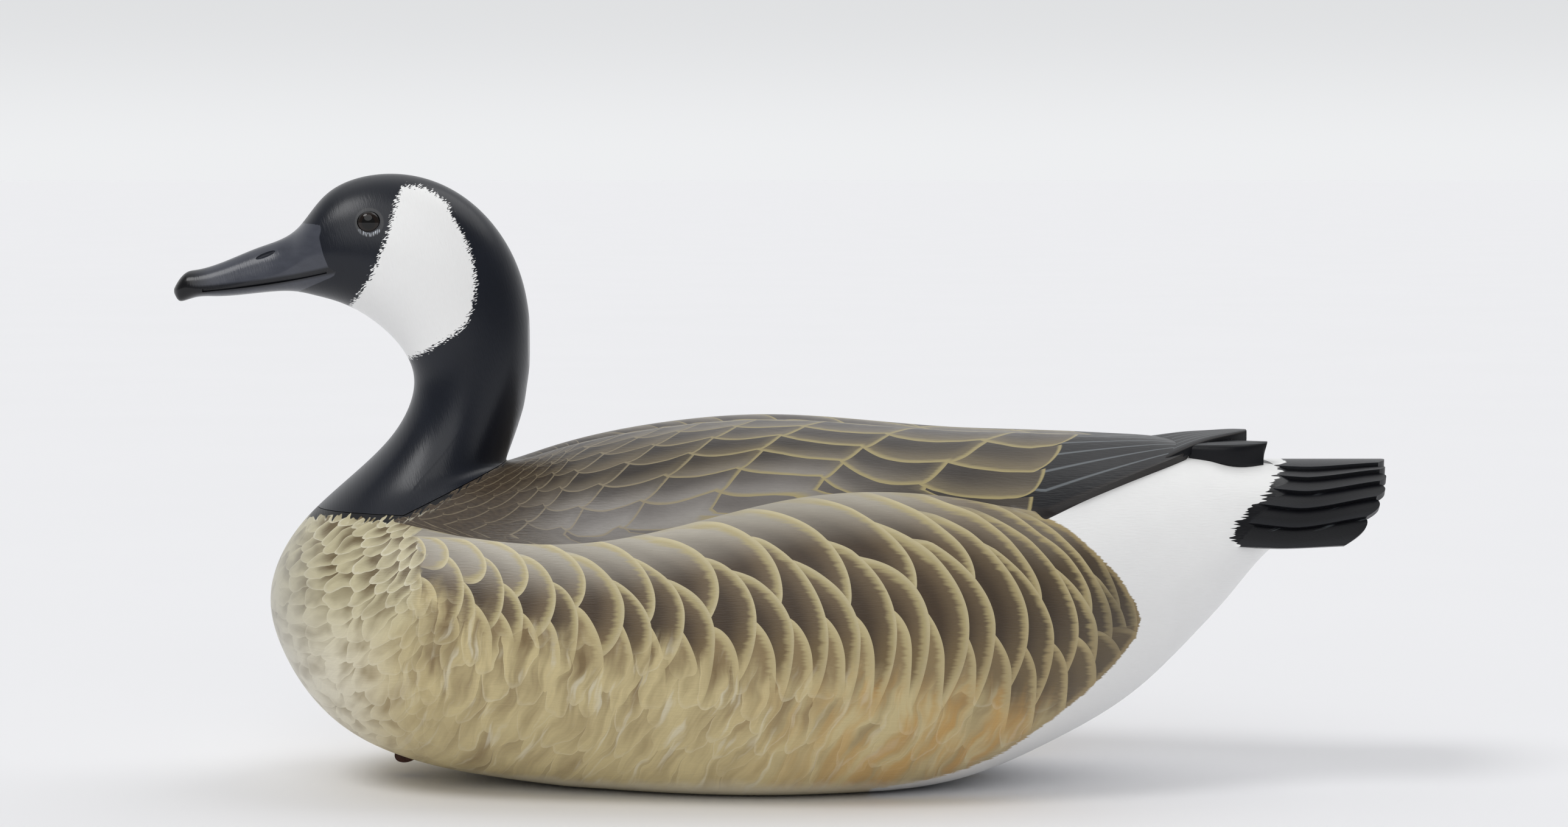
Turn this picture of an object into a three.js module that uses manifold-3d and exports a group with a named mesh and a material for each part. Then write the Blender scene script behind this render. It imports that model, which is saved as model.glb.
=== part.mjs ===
// Goose decoy: a carved and painted wooden goose with its head up, resting on a flat oval on its underside.
// The bill points to -X, the tail to +X and +Z is up. The origin is on the floor, under the middle of the
// length. Body and head are carved from two blocks that meet on a seat under the neck. The folded wings,
// their crossed tips and the tail belong to the body block. A glass eye is set into each side of the head,
// and a leather line tie sits under the breast.
import * as THREE from "three";
import { mergeVertices } from "three/addons/utils/BufferGeometryUtils.js";
import Module from "manifold-3d";

const wasm = await Module();
wasm.setup();

// Driving dimensions, in millimetres
const decoyLength = 646; // bill tip to tail tip
const jointGap = 0.3; // left between pieces that touch

// Glass eyes
const eyeDiameter = 12;
const eyeThickness = 7;
const eyeStandOut = 2.2; // how far the glass stands out of the head

// Leather line tie under the breast
const tieWidth = 12;
const tieLength = 13;
const tieThickness = 5.8;
const tieNose = 4; // length of its round front end

// The carved form keeps its proportions. Everything from here down to the pieces is in shares of the length.
// The whole bird has this many of them. A share is a millimetre at the real size.
const sharesInLength = 646;
const share = decoyLength / sharesInLength;

// The rings that the bird is carved through, from the tail root to the bill tip. A ring runs round the bird
// from its back line to its keel line. They stand upright in the body, fan round the crook behind the neck,
// and go on up to the bill: [back x, back z, keel x, keel z, half width, share of the way down where it is
// widest, half width of the flat on its back, half width of the flat on its keel]
const rings = [
  [284, 158, 281, 141, 24, 0.6, 6, 4],
  [272, 166.5, 269, 133, 44, 0.8, 10, 5],
  [260, 170.4, 257, 122.5, 49, 0.72, 14, 6],
  [240, 172.5, 238, 99, 57, 0.56, 18, 6],
  [218, 178.3, 217, 75.5, 64, 0.56, 24, 6],
  [190, 183.2, 190, 49.5, 74, 0.56, 16, 7],
  [145, 186.2, 145, 22.5, 95, 0.57, 15, 10],
  [95, 187.9, 95, 4.2, 110, 0.578, 20.5, 26],
  [45, 191.8, 45, -0.3, 119, 0.6, 25.5, 46],
  [-5, 194.6, -5, -1, 121.5, 0.612, 28, 58],
  [-55, 191.4, -58, -1, 119, 0.602, 29.5, 50],
  [-95, 184.8, -105, -0.3, 114.5, 0.584, 29, 30],
  [-122, 178, -150, 3, 110, 0.568, 24, 13],
  [-138, 172.8, -195, 11.5, 104, 0.557, 17, 8],
  [-145, 170.3, -237, 32, 96, 0.55, 11, 6],
  [-147, 169.9, -265, 68, 82.5, 0.535, 7, 4],
  [-147.2, 170.5, -272.7, 97, 70, 0.52, 4, 3],
  [-146.7, 172.3, -265, 124, 56, 0.5, 2, 2],
  [-144.5, 178.5, -240, 153, 44, 0.5, 2, 2],
  [-139.5, 194.5, -207.5, 184, 35.5, 0.5, 2, 2],
  [-134.6, 219, -195.7, 211, 32.2, 0.5, 2, 2],
  [-134.8, 250, -202, 230.3, 31.6, 0.5, 2, 2],
  [-144.5, 282.5, -217, 245, 32.4, 0.54, 2, 2],
  [-170, 311.5, -233.5, 254.3, 32.4, 0.59, 3, 3],
  [-209, 323.1, -248, 258.6, 30.2, 0.6, 3, 4],
  [-241, 313, -256.5, 260.4, 24.6, 0.61, 3, 4],
  [-257.5, 294, -266, 260.8, 18, 0.66, 3.5, 4],
  [-277, 284.4, -281, 259.5, 14.8, 0.72, 3.2, 3.8],
  [-299, 275.6, -301, 258, 12.4, 0.75, 2.5, 3],
  [-312, 272, -312, 257.4, 11.2, 0.66, 2.8, 3],
  [-316.5, 270.9, -316.5, 256.1, 10.2, 0.55, 3, 3],
  [-321, 266.4, -320.8, 255.7, 7.6, 0.5, 2.5, 2.5],
  [-323.2, 262.6, -323, 258.8, 4, 0.5, 1.6, 1.6],
];
const backCorner = 0.45; // roundness of the back's edges, 0 being square
const ringSpacing = 22;
const backSteps = 8; // facets on one side, from the back line to the wing's lower edge
const sideSteps = 5; // from there to the widest line
const keelSteps = 7; // from the widest line to the keel line, the last one being the flat
const flatWay = 1 / keelSteps;

// The wing's lower edge as the side shows it, [x, z]. Ahead of the lowest point of its rear half the flank
// lies over the wing, and behind it the wing lies over the rump.
const wingEdge = [
  [-200, 143], [-150, 136], [-90, 137], [-40, 147.5], [5, 157.5],
  [50, 160.5], [95, 156.5], [136, 148.8], [175, 162.8], [216, 176.2],
];
const wingEdgeStart = wingEdge[0][0];
const wingEdgeTurn = wingEdge[7][0];
const flankStep = 4.2; // depth of the wing behind the flank's edge
const rumpStep = 3.8; // depth of the rump under the wing's edge
const stepReach = 20; // how far from the edge the surface comes back
const stepShare = 0.7; // how much of a step is cut in, and the rest stands out
const stepFade = 50; // length over which the flank's step starts or ends
const rumpFade = [126, 161]; // x between which the rump's step starts
const rumpEnd = [212, 230]; // x between which it ends under the wing tips
const creaseWidth = 0.01; // of either step, as a share of the way down a ring

// The hollow along the middle of the back, between the wings
const hollowDepth = 5.5;
const hollowWidth = 13;
const hollowFront = [-147, -128]; // x where it starts and has its full depth
const hollowMiddle = [-40, 110]; // x between which it gets shallower
const hollowRear = [165, 200]; // x between which it runs out
const hollowRest = 0.25; // share of the depth left behind the middle
const crookHeight = [200, 212]; // z between which the back line has turned up into the neck

// Crossed wing tips, the left over the right: [x, outer edge y, its z, inner edge y, its z, thickness]
const leftTip = [
  [184, -49, 167, 8, 182.2, 6], [200, -40, 174.6, 14, 183.6, 6], [216, -28, 181, 20, 185, 7],
  [231, -13, 184.2, 21, 185.6, 7], [243, -3, 185.6, 17, 186.3, 7], [249.5, 4, 186, 11, 186.3, 6],
];
const rightTip = [
  [188, 46, 166, -8, 178.5, 9], [205, 36, 175, -22, 180.6, 9], [216, 26, 179.5, -27, 181.2, 11],
  [230, 13, 180.8, -30, 181.4, 13], [245, -1, 181.4, -27.5, 181.5, 14], [258, -12, 181.4, -18, 181.4, 14],
];
const tipCorners = 12;
const rightTipRake = 4; // how far its end leans in from top to bottom

// Tail: an arch of feathers, the middle one on top and each one tucked under the one nearer the middle
const tailTop = 170.8;
const tailHalfWidth = 62;
const tailArchHeight = 50; // from the top down to where the arch would stand upright
const tailFeathersPerSide = 5; // besides the middle one
const tailMiddleTurn = 18.5; // degrees round the arch covered by half of the middle feather
const tailFeatherTurn = 12.4; // degrees that each of the others shows
const tailStep = 2.2; // how far a feather stands above the next
const tailThickness = 6;
const tailMiddleTip = 322.6;
const tailTipSlope = 6; // how far the tips fall back evenly from the middle to the sides
const tailTipFall = 20; // and how much further near the sides
const tailMiddleRoot = 252;
const tailSideRoot = 234;
const tailRootNarrower = 3; // how much less the half width is at the root
const tailTipRound = 3.4; // how far a tip's corners fall back
const tailRootSweep = 4; // degrees that the feathers' lines draw in towards the root
const tailTipSweep = 11; // and towards the tips
const tailSideSweep = 0.2; // share of that left at the tail's side edges
const tailFacets = 3; // across a feather
const tailSteps = 7; // along a feather

// Mouth line, [x, z], and nostrils
const mouth = [[-239, 271.6], [-252, 268.8], [-264, 266.6], [-285, 263.6], [-307, 261.2]];
const mouthHeight = 2;
const mouthDepth = 1.8;
const nostril = [-273.2, 280.2];
const nostrilSize = [11.4, 2.8, 2.8]; // length, depth into the bill, height
const nostrilTilt = 21; // degrees, its front end down

// The seat under the neck as the side shows it, [x, z]: level in front, then rising to the crook behind it
const seat = [[-196, 146.5], [-147, 170.2], [-100, 255]];
const eyePlace = [-216.5, 297.5];
const tiePlace = -200.5; // x of its middle

// Natural cubic spline through values at rising knots
function spline(knots, values) {
  const last = knots.length - 1;
  const bends = new Array(last + 1).fill(0);
  const ratios = new Array(last + 1).fill(0);
  for (let i = 1; i < last; i++) {
    const before = knots[i] - knots[i - 1];
    const after = knots[i + 1] - knots[i];
    const turn = (values[i + 1] - values[i]) / after - (values[i] - values[i - 1]) / before;
    const pivot = 2 * (before + after) - before * ratios[i - 1];
    ratios[i] = after / pivot;
    bends[i] = (6 * turn - before * bends[i - 1]) / pivot;
  }
  for (let i = last - 1; i > 0; i--) bends[i] -= ratios[i] * bends[i + 1];
  return (at) => {
    let i = 0;
    while (i < last - 1 && at > knots[i + 1]) i++;
    const width = knots[i + 1] - knots[i];
    const t = (at - knots[i]) / width;
    const s = 1 - t;
    const bent = ((s ** 3 - s) * bends[i] + (t ** 3 - t) * bends[i + 1]) * width ** 2;
    return s * values[i] + t * values[i + 1] + bent / 6;
  };
}

const smooth = (from, to, x) => {
  const t = Math.min(Math.max((x - from) / (to - from), 0), 1);
  return t * t * (3 - 2 * t);
};

// Knots of the rings: the mean distance that the back line and the keel line have gone
const ringKnots = [0];
for (let i = 1; i < rings.length; i++) {
  const [a, b] = [rings[i - 1], rings[i]];
  const gone = Math.hypot(b[0] - a[0], b[1] - a[1]) + Math.hypot(b[2] - a[2], b[3] - a[3]);
  ringKnots.push(ringKnots[i - 1] + gone / 2);
}
const lastKnot = ringKnots[rings.length - 1];
const ringCurves = rings[0].map((_, column) => {
  return spline(ringKnots, rings.map((ring) => ring[column]));
});

// The knot of the first ring whose back line is ahead of x
const knotAhead = (x) => ringKnots[rings.findIndex((ring) => ring[0] < x)];

const alongSpline = (points) => spline(points.map(([x]) => x), points.map(([, z]) => z));
const frontEdge = alongSpline(wingEdge.filter(([x]) => x <= wingEdgeTurn));
const rearEdge = alongSpline(wingEdge.filter(([x]) => x >= wingEdgeTurn));
const wingEdgeHeight = (x) => (x < wingEdgeTurn ? frontEdge(Math.max(x, wingEdgeStart)) : rearEdge(x));

// A point of the right side's half ring. way goes from 0 at the back line to 1 where it is widest and 2 at
// the keel line. The underside is planed level where the keel line would go through the floor.
function ringPoint(at, way, slimmer = 0) {
  const [backX, backZ, keelX, keelZ, fullWidth, widest, backFlat, keelFlat] = ringCurves
    .map((curve) => curve(at));
  const half = fullWidth - slimmer;
  let down;
  let out;
  if (way <= 1) {
    const turn = (way * Math.PI) / 2;
    down = widest * (1 - Math.cos(turn));
    out = backFlat * Math.sin(turn) ** backCorner + (half - backFlat) * Math.sin(turn);
  } else {
    const turn = (Math.min((way - 1) / (1 - flatWay), 1) * Math.PI) / 2;
    down = widest + (1 - widest) * Math.sin(turn);
    out = (keelFlat + (half - keelFlat) * Math.cos(turn)) * Math.min((2 - way) / flatWay, 1);
  }
  const lowest = Math.max(keelZ, 0);
  return new THREE.Vector3(backX + (keelX - backX) * down, out, backZ + (lowest - backZ) * down);
}

// How far round a ring the wing's lower edge crosses it
function wingWay(at) {
  let low = 0.1;
  let high = 0.9;
  for (let i = 0; i < 20; i++) {
    const middle = (low + high) / 2;
    const point = ringPoint(at, middle);
    if (point.z > wingEdgeHeight(point.x)) low = middle;
    else high = middle;
  }
  return (low + high) / 2;
}

// How far the carving moves the skin out at a point, above or below the wing's lower edge
function carving(point, above) {
  const reach = Math.exp(-(((point.z - wingEdgeHeight(point.x)) / stepReach) ** 2));
  const starts = smooth(wingEdgeStart, wingEdgeStart + stepFade, point.x);
  const ahead = starts * (1 - smooth(wingEdgeTurn - stepFade, wingEdgeTurn, point.x));
  const behind = smooth(...rumpFade, point.x) * (1 - smooth(...rumpEnd, point.x));
  const flank = flankStep * ahead * (above ? -stepShare : 1 - stepShare);
  const rump = rumpStep * behind * (above ? 1 - stepShare : -stepShare);
  return reach * (flank + rump);
}

// Depth of the hollow along the middle of the back
function hollow(point) {
  const starts = smooth(...hollowFront, point.x) * (1 - smooth(...crookHeight, point.z));
  const shallower = 1 - (1 - hollowRest) * smooth(...hollowMiddle, point.x);
  const ends = 1 - smooth(...hollowRear, point.x);
  return hollowDepth * starts * shallower * ends * Math.exp(-((point.y / hollowWidth) ** 2));
}

// Loops of points joined into a closed skin. Its ends are closed by a fan round their middle, or, for loops
// that go out along a line and back under it, straight from the line to its return.
function skin(loops, goesOutAndBack = false) {
  const count = loops[0].length;
  const points = loops.flat();
  const faces = [];
  for (let r = 0; r + 1 < loops.length; r++) {
    for (let i = 0; i < count; i++) {
      const a = r * count + i;
      const b = r * count + ((i + 1) % count);
      faces.push(a, b, b + count, a, b + count, a + count);
    }
  }
  for (const r of [0, loops.length - 1]) {
    const first = r * count;
    const middle = loops[r].reduce((sum, point) => sum.add(point), new THREE.Vector3()).divideScalar(count);
    if (!goesOutAndBack) points.push(middle);
    for (let i = 0; i < count; i++) {
      const corners = [first + i, first + ((i + 1) % count)];
      if (r === 0) corners.reverse();
      if (!goesOutAndBack) faces.push(...corners, points.length - 1);
      else if (i + 1 !== count / 2 && i + 1 !== count) faces.push(...corners, first + count - 2 - i);
    }
  }
  const geometry = new THREE.BufferGeometry().setFromPoints(points);
  geometry.setIndex(faces);
  return geometry;
}

// A closed geometry as a solid, turned right side out
function solid(geometry) {
  const bare = geometry.clone();
  for (const name of Object.keys(bare.attributes)) {
    if (name !== "position") bare.deleteAttribute(name);
  }
  const merged = mergeVertices(bare, 1e-3);
  const corners = new Uint32Array(merged.index.array);
  const make = () => new wasm.Manifold(
    new wasm.Mesh({ numProp: 3, vertProperties: merged.attributes.position.array, triVerts: corners }),
  );
  const made = make();
  if (made.volume() > 0) return made;
  for (let i = 0; i < corners.length; i += 3) {
    [corners[i + 1], corners[i + 2]] = [corners[i + 2], corners[i + 1]];
  }
  return make();
}

function toGeometry(made) {
  const mesh = made.getMesh();
  const points = [];
  for (let i = 0; i < mesh.numVert; i++) {
    points.push(...mesh.vertProperties.subarray(i * mesh.numProp, i * mesh.numProp + 3));
  }
  const geometry = new THREE.BufferGeometry();
  geometry.setAttribute("position", new THREE.Float32BufferAttribute(points, 3));
  geometry.setIndex([...mesh.triVerts]);
  geometry.computeVertexNormals();
  return geometry;
}

// One ring of the bird's skin, all the way round
function birdLoop(at, slimmer) {
  const edge = wingWay(at);
  const over = edge - creaseWidth / 2;
  const under = edge + creaseWidth / 2;
  const places = [];
  for (let i = 0; i <= backSteps; i++) places.push([over * (i / backSteps) ** 1.5, true]);
  for (let i = 0; i <= sideSteps; i++) places.push([under + (1 - under) * (i / sideSteps), false]);
  for (let i = 1; i <= keelSteps; i++) places.push([1 + i / keelSteps, false]);
  const middle = ringPoint(at, 1);
  const right = places.map(([way, above]) => {
    const point = ringPoint(at, way, slimmer);
    const outward = new THREE.Vector3(0, point.y, Math.max(point.z - middle.z, 0)).normalize();
    const depth = above ? hollow(point) : 0;
    point.addScaledVector(outward, carving(point, above));
    point.z -= depth;
    return point.multiplyScalar(share);
  });
  const left = right.slice(1, -1).reverse().map((point) => new THREE.Vector3(point.x, -point.y, point.z));
  return [...right, ...left];
}

// The bird's skin from a knot to the bill tip
function birdSkin(slimmer = 0, firstKnot = 0) {
  const loops = [];
  for (let i = ringKnots.indexOf(firstKnot); i + 1 < rings.length; i++) {
    const gap = ringKnots[i + 1] - ringKnots[i];
    const [here, next] = [rings[i], rings[i + 1]];
    const alongBack = Math.hypot(next[0] - here[0], next[1] - here[1]);
    const alongKeel = Math.hypot(next[2] - here[2], next[3] - here[3]);
    const steps = Math.max(1, Math.round(Math.max(alongBack, alongKeel) / ringSpacing));
    for (let k = 0; k < steps; k++) loops.push(birdLoop(ringKnots[i] + (gap * k) / steps, slimmer));
  }
  loops.push(birdLoop(lastKnot, slimmer));
  return skin(loops);
}

// A wing tip: a slab with rounded edges, its end leaning in by rake
function wingTip(rows, rake) {
  const square = (value) => Math.sign(value) * Math.abs(value) ** 0.4;
  return skin(rows.map(([x, outerY, outerZ, innerY, innerZ, thickness], row) =>
    Array.from({ length: tipCorners }, (_, i) => {
      const turn = ((i + 0.5) / tipCorners) * 2 * Math.PI;
      const across = (1 + square(Math.cos(turn))) / 2;
      const below = (1 - square(Math.sin(turn))) / 2;
      const lean = row === rows.length - 1 ? rake * below : 0;
      const y = outerY + (innerY - outerY) * across;
      const z = outerZ + (innerZ - outerZ) * across - thickness * below;
      return new THREE.Vector3(x - lean, y, z).multiplyScalar(share);
    })));
}

// Lines along the tail, from its middle to one side: where round the arch each lies, in degrees, how far it
// stands above the step's foot, and how far across its feather it lies, 0 being its middle and 1 an edge
function tailLines() {
  const lines = [];
  for (let i = 0; i <= tailFacets; i++) {
    const across = i / tailFacets;
    lines.push({ turn: tailMiddleTurn * across, rise: 1, across });
  }
  for (let feather = 0; feather < tailFeathersPerSide; feather++) {
    const inner = tailMiddleTurn + feather * tailFeatherTurn;
    for (let i = 0; i <= tailFacets; i++) {
      const t = i / tailFacets;
      const nudge = i === 0 ? 0.5 : 0; // keeps the step from being quite upright
      lines.push({ turn: inner + nudge + tailFeatherTurn * t, rise: t, across: Math.abs(2 * t - 1) });
    }
  }
  return lines;
}

function tailSkin() {
  const right = tailLines();
  const lines = [...right.slice(1).reverse().map((line) => ({ ...line, turn: -line.turn })), ...right];
  const outermost = right[right.length - 1].turn;
  const loops = [];
  for (let step = 0; step <= tailSteps; step++) {
    const t = step / tailSteps;
    const row = (depthOf) => lines.map((line) => {
      const side = Math.abs(line.turn) / outermost;
      const fallen = tailTipSlope * side + tailTipFall * side ** 5 + tailTipRound * line.across ** 2;
      const root = tailMiddleRoot + (tailSideRoot - tailMiddleRoot) * side;
      const sweep = tailRootSweep * (1 - smooth(0, 0.5, t)) + tailTipSweep * smooth(0.4, 1.2, t);
      const swept = sweep * smooth(0, 0.3, side) * (1 - (1 - tailSideSweep) * side ** 8);
      const turn = THREE.MathUtils.degToRad(line.turn - Math.sign(line.turn) * swept);
      const depth = depthOf(line);
      const y = (tailHalfWidth - tailRootNarrower * (1 - t) - depth) * Math.sin(turn);
      const z = tailTop - tailArchHeight + (tailArchHeight - depth) * Math.cos(turn);
      return new THREE.Vector3(root + (tailMiddleTip - fallen - root) * t, y, z).multiplyScalar(share);
    });
    const above = row((line) => (1 - line.rise) * tailStep);
    const below = row(() => tailStep + tailThickness * (1 - 0.5 * t));
    loops.push([...above, ...below.reverse()]);
  }
  return skin(loops, true);
}

// An outline in the XZ plane, as a solid reaching the same way to both sides
function sideSolid(outline, halfWidth) {
  const shape = new THREE.Shape(outline.map(([x, z]) => new THREE.Vector2(x * share, z * share)));
  const slab = new THREE.ExtrudeGeometry(shape, { depth: 2 * halfWidth * share, bevelEnabled: false });
  slab.rotateX(Math.PI / 2);
  slab.translate(0, halfWidth * share, 0);
  return solid(slab);
}

// The mouth line: a thin slab along it, less the middle of the bill
function mouthGroove() {
  const edge = (rise) => mouth.map(([x, z]) => [x, z + rise]);
  const outline = [...edge(mouthHeight / 2), ...edge(-mouthHeight / 2).reverse()];
  const slab = sideSolid(outline, sharesInLength / 10);
  return slab.subtract(solid(birdSkin(mouthDepth, knotAhead(-160))));
}

// The bird's half width at a place on its head as the side shows it
function halfWidthAt([x, z]) {
  let nearest = Infinity;
  let found = 0;
  for (let at = knotAhead(-160); at < lastKnot; at += 1) {
    for (let way = 0.1; way < 1.9; way += 0.02) {
      const point = ringPoint(at, way);
      const miss = Math.hypot(point.x - x, point.z - z);
      if (miss < nearest) [nearest, found] = [miss, point.y];
    }
  }
  return found;
}

function nostrilCut(side) {
  const cut = new THREE.SphereGeometry(1, 12, 8);
  const [length, depth, height] = nostrilSize;
  cut.scale((length / 2) * share, depth * share, (height / 2) * share);
  cut.rotateY(-THREE.MathUtils.degToRad(nostrilTilt));
  cut.translate(nostril[0] * share, side * halfWidthAt(nostril) * share, nostril[1] * share);
  return solid(cut);
}

// A glass eye, or its socket when grown
function eyeBall(grow) {
  const ball = new THREE.SphereGeometry(eyeDiameter / 2 + grow, 14, 9);
  ball.scale(1, (eyeThickness / 2 + grow) / (eyeDiameter / 2 + grow), 1);
  return ball;
}

const eyeX = eyePlace[0] * share;
const eyeZ = eyePlace[1] * share;
const eyeY = halfWidthAt(eyePlace) * share + eyeStandOut - eyeThickness / 2;

function socket(side) {
  const ball = eyeBall(jointGap);
  ball.translate(eyeX, side * eyeY, eyeZ);
  return solid(ball);
}

// The leather line tie: a strap with a round nose in front, its upper side following the breast's underside
function lineTie(whole) {
  const outline = new THREE.Shape();
  outline.moveTo(-tieLength / 2, tieThickness);
  outline.lineTo(-tieLength / 2, 0);
  outline.quadraticCurveTo(-tieLength / 2, -tieThickness, tieNose - tieLength / 2, -tieThickness);
  outline.quadraticCurveTo(tieLength / 2 - tieNose, -tieThickness, tieLength / 2, 0);
  outline.lineTo(tieLength / 2, tieThickness);
  outline.closePath();
  const settings = { depth: tieWidth, bevelEnabled: false, curveSegments: 8 };
  const strap = new THREE.ExtrudeGeometry(outline, settings);
  const keel = keelAt(tiePlace);
  strap.translate(0, 0, -tieWidth / 2);
  strap.rotateX(Math.PI / 2);
  strap.rotateY(-keel.slope);
  strap.translate(tiePlace * share, 0, keel.z * share);
  return solid(strap).subtract(whole.translate([0, 0, -jointGap]));
}

// The keel line's height and slope at a place under the breast
function keelAt(x) {
  const [keelX, keelZ] = [ringCurves[2], ringCurves[3]];
  let at = knotAhead(0);
  while (keelX(at) > x) at += 0.25;
  const rise = keelZ(at + 1) - keelZ(at - 1);
  const run = keelX(at + 1) - keelX(at - 1);
  return { z: keelZ(at), slope: Math.atan(rise / run) };
}

const farSide = 2 * sharesInLength;
const seatSpace = [[-farSide, seat[0][1]], ...seat, [seat[2][0], farSide], [-farSide, farSide]];
const whole = solid(birdSkin())
  .add(solid(wingTip(rightTip, rightTipRake)))
  .add(solid(wingTip(leftTip, 0)))
  .add(solid(tailSkin()));
const headRoom = sideSolid(seatSpace, sharesInLength);
const gapShares = jointGap / share;
const gapSpace = seatSpace.map(([x, z]) => [x + gapShares, z - gapShares]);
const gapRoom = sideSolid(gapSpace, sharesInLength);
const bodySolid = whole.subtract(headRoom.add(gapRoom));
const headSolid = [1, -1].reduce(
  (made, side) => made.subtract(socket(side)).subtract(nostrilCut(side)),
  whole.intersect(headRoom).subtract(mouthGroove()),
);

const paint = (color, roughness) => new THREE.MeshStandardMaterial({ color, roughness });
const group = new THREE.Group();

function place(name, geometry, material) {
  const mesh = new THREE.Mesh(geometry, material);
  mesh.name = name;
  group.add(mesh);
  return mesh;
}

place("body", toGeometry(bodySolid), paint(0x8a7a5c, 0.5));
place("head_and_neck", toGeometry(headSolid), paint(0x17191c, 0.4));
for (const [name, side] of [["eye_left", -1], ["eye_right", 1]]) {
  const eye = place(name, eyeBall(0), paint(0x120c08, 0.08));
  eye.position.set(eyeX, side * eyeY, eyeZ);
}
place("line_tie", toGeometry(lineTie(whole)), paint(0x2c1710, 0.6));

export default group;
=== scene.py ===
# Goose decoy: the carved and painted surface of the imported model, with its camera and studio.
# The bill points to -X, the tail to +X and +Z is up. Shapes are worked out in millimetres and made in metres.
import math

import bpy
import numpy as np
from mathutils import Matrix, Vector
from mathutils.kdtree import KDTree


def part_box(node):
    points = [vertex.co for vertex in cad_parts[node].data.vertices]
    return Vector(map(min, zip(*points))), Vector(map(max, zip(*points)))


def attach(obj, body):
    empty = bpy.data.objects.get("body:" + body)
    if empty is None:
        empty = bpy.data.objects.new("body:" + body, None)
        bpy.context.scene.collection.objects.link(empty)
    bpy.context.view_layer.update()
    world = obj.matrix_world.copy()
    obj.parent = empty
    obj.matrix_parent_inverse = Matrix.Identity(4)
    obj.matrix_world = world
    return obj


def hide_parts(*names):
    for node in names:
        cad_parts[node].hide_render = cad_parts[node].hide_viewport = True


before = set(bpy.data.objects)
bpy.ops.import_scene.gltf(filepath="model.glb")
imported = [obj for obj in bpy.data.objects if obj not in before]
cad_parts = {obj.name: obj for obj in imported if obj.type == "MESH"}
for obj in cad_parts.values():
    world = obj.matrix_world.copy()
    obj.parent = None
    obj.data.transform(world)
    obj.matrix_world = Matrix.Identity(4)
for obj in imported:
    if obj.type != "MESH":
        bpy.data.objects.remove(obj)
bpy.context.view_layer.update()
MM = 0.001
CM = 10
# Pixels of the side's picture to a unit of the paint's places, and to a unit of its ways to borders
SQUARE = 100
STRIP = 10

# Rings from the rump to the tip of the bill: x and z of the back line, x and z of the keel line, the half
# width, how far down it is widest, and the half widths of the flats on the back and under the keel
RINGS = [
    [284, 158, 281, 141, 24, 0.6, 6, 4],
    [272, 166.5, 269, 133, 44, 0.8, 10, 5],
    [260, 170.4, 257, 122.5, 49, 0.72, 14, 6],
    [240, 172.5, 238, 99, 57, 0.56, 18, 6],
    [218, 178.3, 217, 75.5, 64, 0.56, 24, 6],
    [190, 183.2, 190, 49.5, 74, 0.56, 16, 7],
    [145, 186.2, 145, 22.5, 95, 0.57, 15, 10],
    [95, 187.9, 95, 4.2, 110, 0.578, 20.5, 26],
    [45, 191.8, 45, -0.3, 119, 0.6, 25.5, 46],
    [-5, 194.6, -5, -1, 121.5, 0.612, 28, 58],
    [-55, 191.4, -58, -1, 119, 0.602, 29.5, 50],
    [-95, 184.8, -105, -0.3, 114.5, 0.584, 29, 30],
    [-122, 178, -150, 3, 110, 0.568, 24, 13],
    [-138, 172.8, -195, 11.5, 104, 0.557, 17, 8],
    [-145, 170.3, -237, 32, 96, 0.55, 11, 6],
    [-147, 169.9, -265, 68, 82.5, 0.535, 7, 4],
    [-147.2, 170.5, -272.7, 97, 70, 0.52, 4, 3],
    [-146.7, 172.3, -265, 124, 56, 0.5, 2, 2],
    [-144.5, 178.5, -240, 153, 44, 0.5, 2, 2],
    [-139.5, 194.5, -207.5, 184, 35.5, 0.5, 2, 2],
    [-134.6, 219, -195.7, 211, 32.2, 0.5, 2, 2],
    [-134.8, 250, -202, 230.3, 31.6, 0.5, 2, 2],
    [-144.5, 282.5, -217, 245, 32.4, 0.54, 2, 2],
    [-170, 311.5, -233.5, 254.3, 32.4, 0.59, 3, 3],
    [-209, 323.1, -248, 258.6, 30.2, 0.6, 3, 4],
    [-241, 313, -256.5, 260.4, 24.6, 0.61, 3, 4],
    [-257.5, 294, -266, 260.8, 18, 0.66, 3.5, 4],
    [-277, 284.4, -281, 259.5, 14.8, 0.72, 3.2, 3.8],
    [-299, 275.6, -301, 258, 12.4, 0.75, 2.5, 3],
    [-312, 272, -312, 257.4, 11.2, 0.66, 2.8, 3],
    [-316.5, 270.9, -316.5, 256.1, 10.2, 0.55, 3, 3],
    [-321, 266.4, -320.8, 255.7, 7.6, 0.5, 2.5, 2.5],
    [-323.2, 262.6, -323, 258.8, 4, 0.5, 1.6, 1.6],
]
BACK_CORNER = 0.45
FLAT_WAY = 1 / 7
# The back line's x where the neck starts and where the head starts
NECK_START = -146
HEAD_START = -160
BODY_SPACING = 3.0
HEAD_SPACING = 1.7
BACK_STEPS = 48
SIDE_STEPS = 30
KEEL_STEPS = 42
BACK_CROWDING = 1.5

WING_EDGE = [
    (-200, 143), (-150, 136), (-90, 137), (-40, 147.5), (5, 157.5),
    (50, 160.5), (95, 156.5), (136, 148.8), (175, 162.8), (216, 176.2),
]
WING_EDGE_TURN = 136
WING_WAYS = (0.1, 0.9)
WING_WAY_HALVINGS = 24
FLANK_STEP = 4.2
RUMP_STEP = 3.8
STEP_REACH = 20
STEP_SHARE = 0.7
STEP_FADE = 50
RUMP_FADE = (126, 161)
RUMP_END = (212, 230)
CREASE_WIDTH = 0.01

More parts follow.
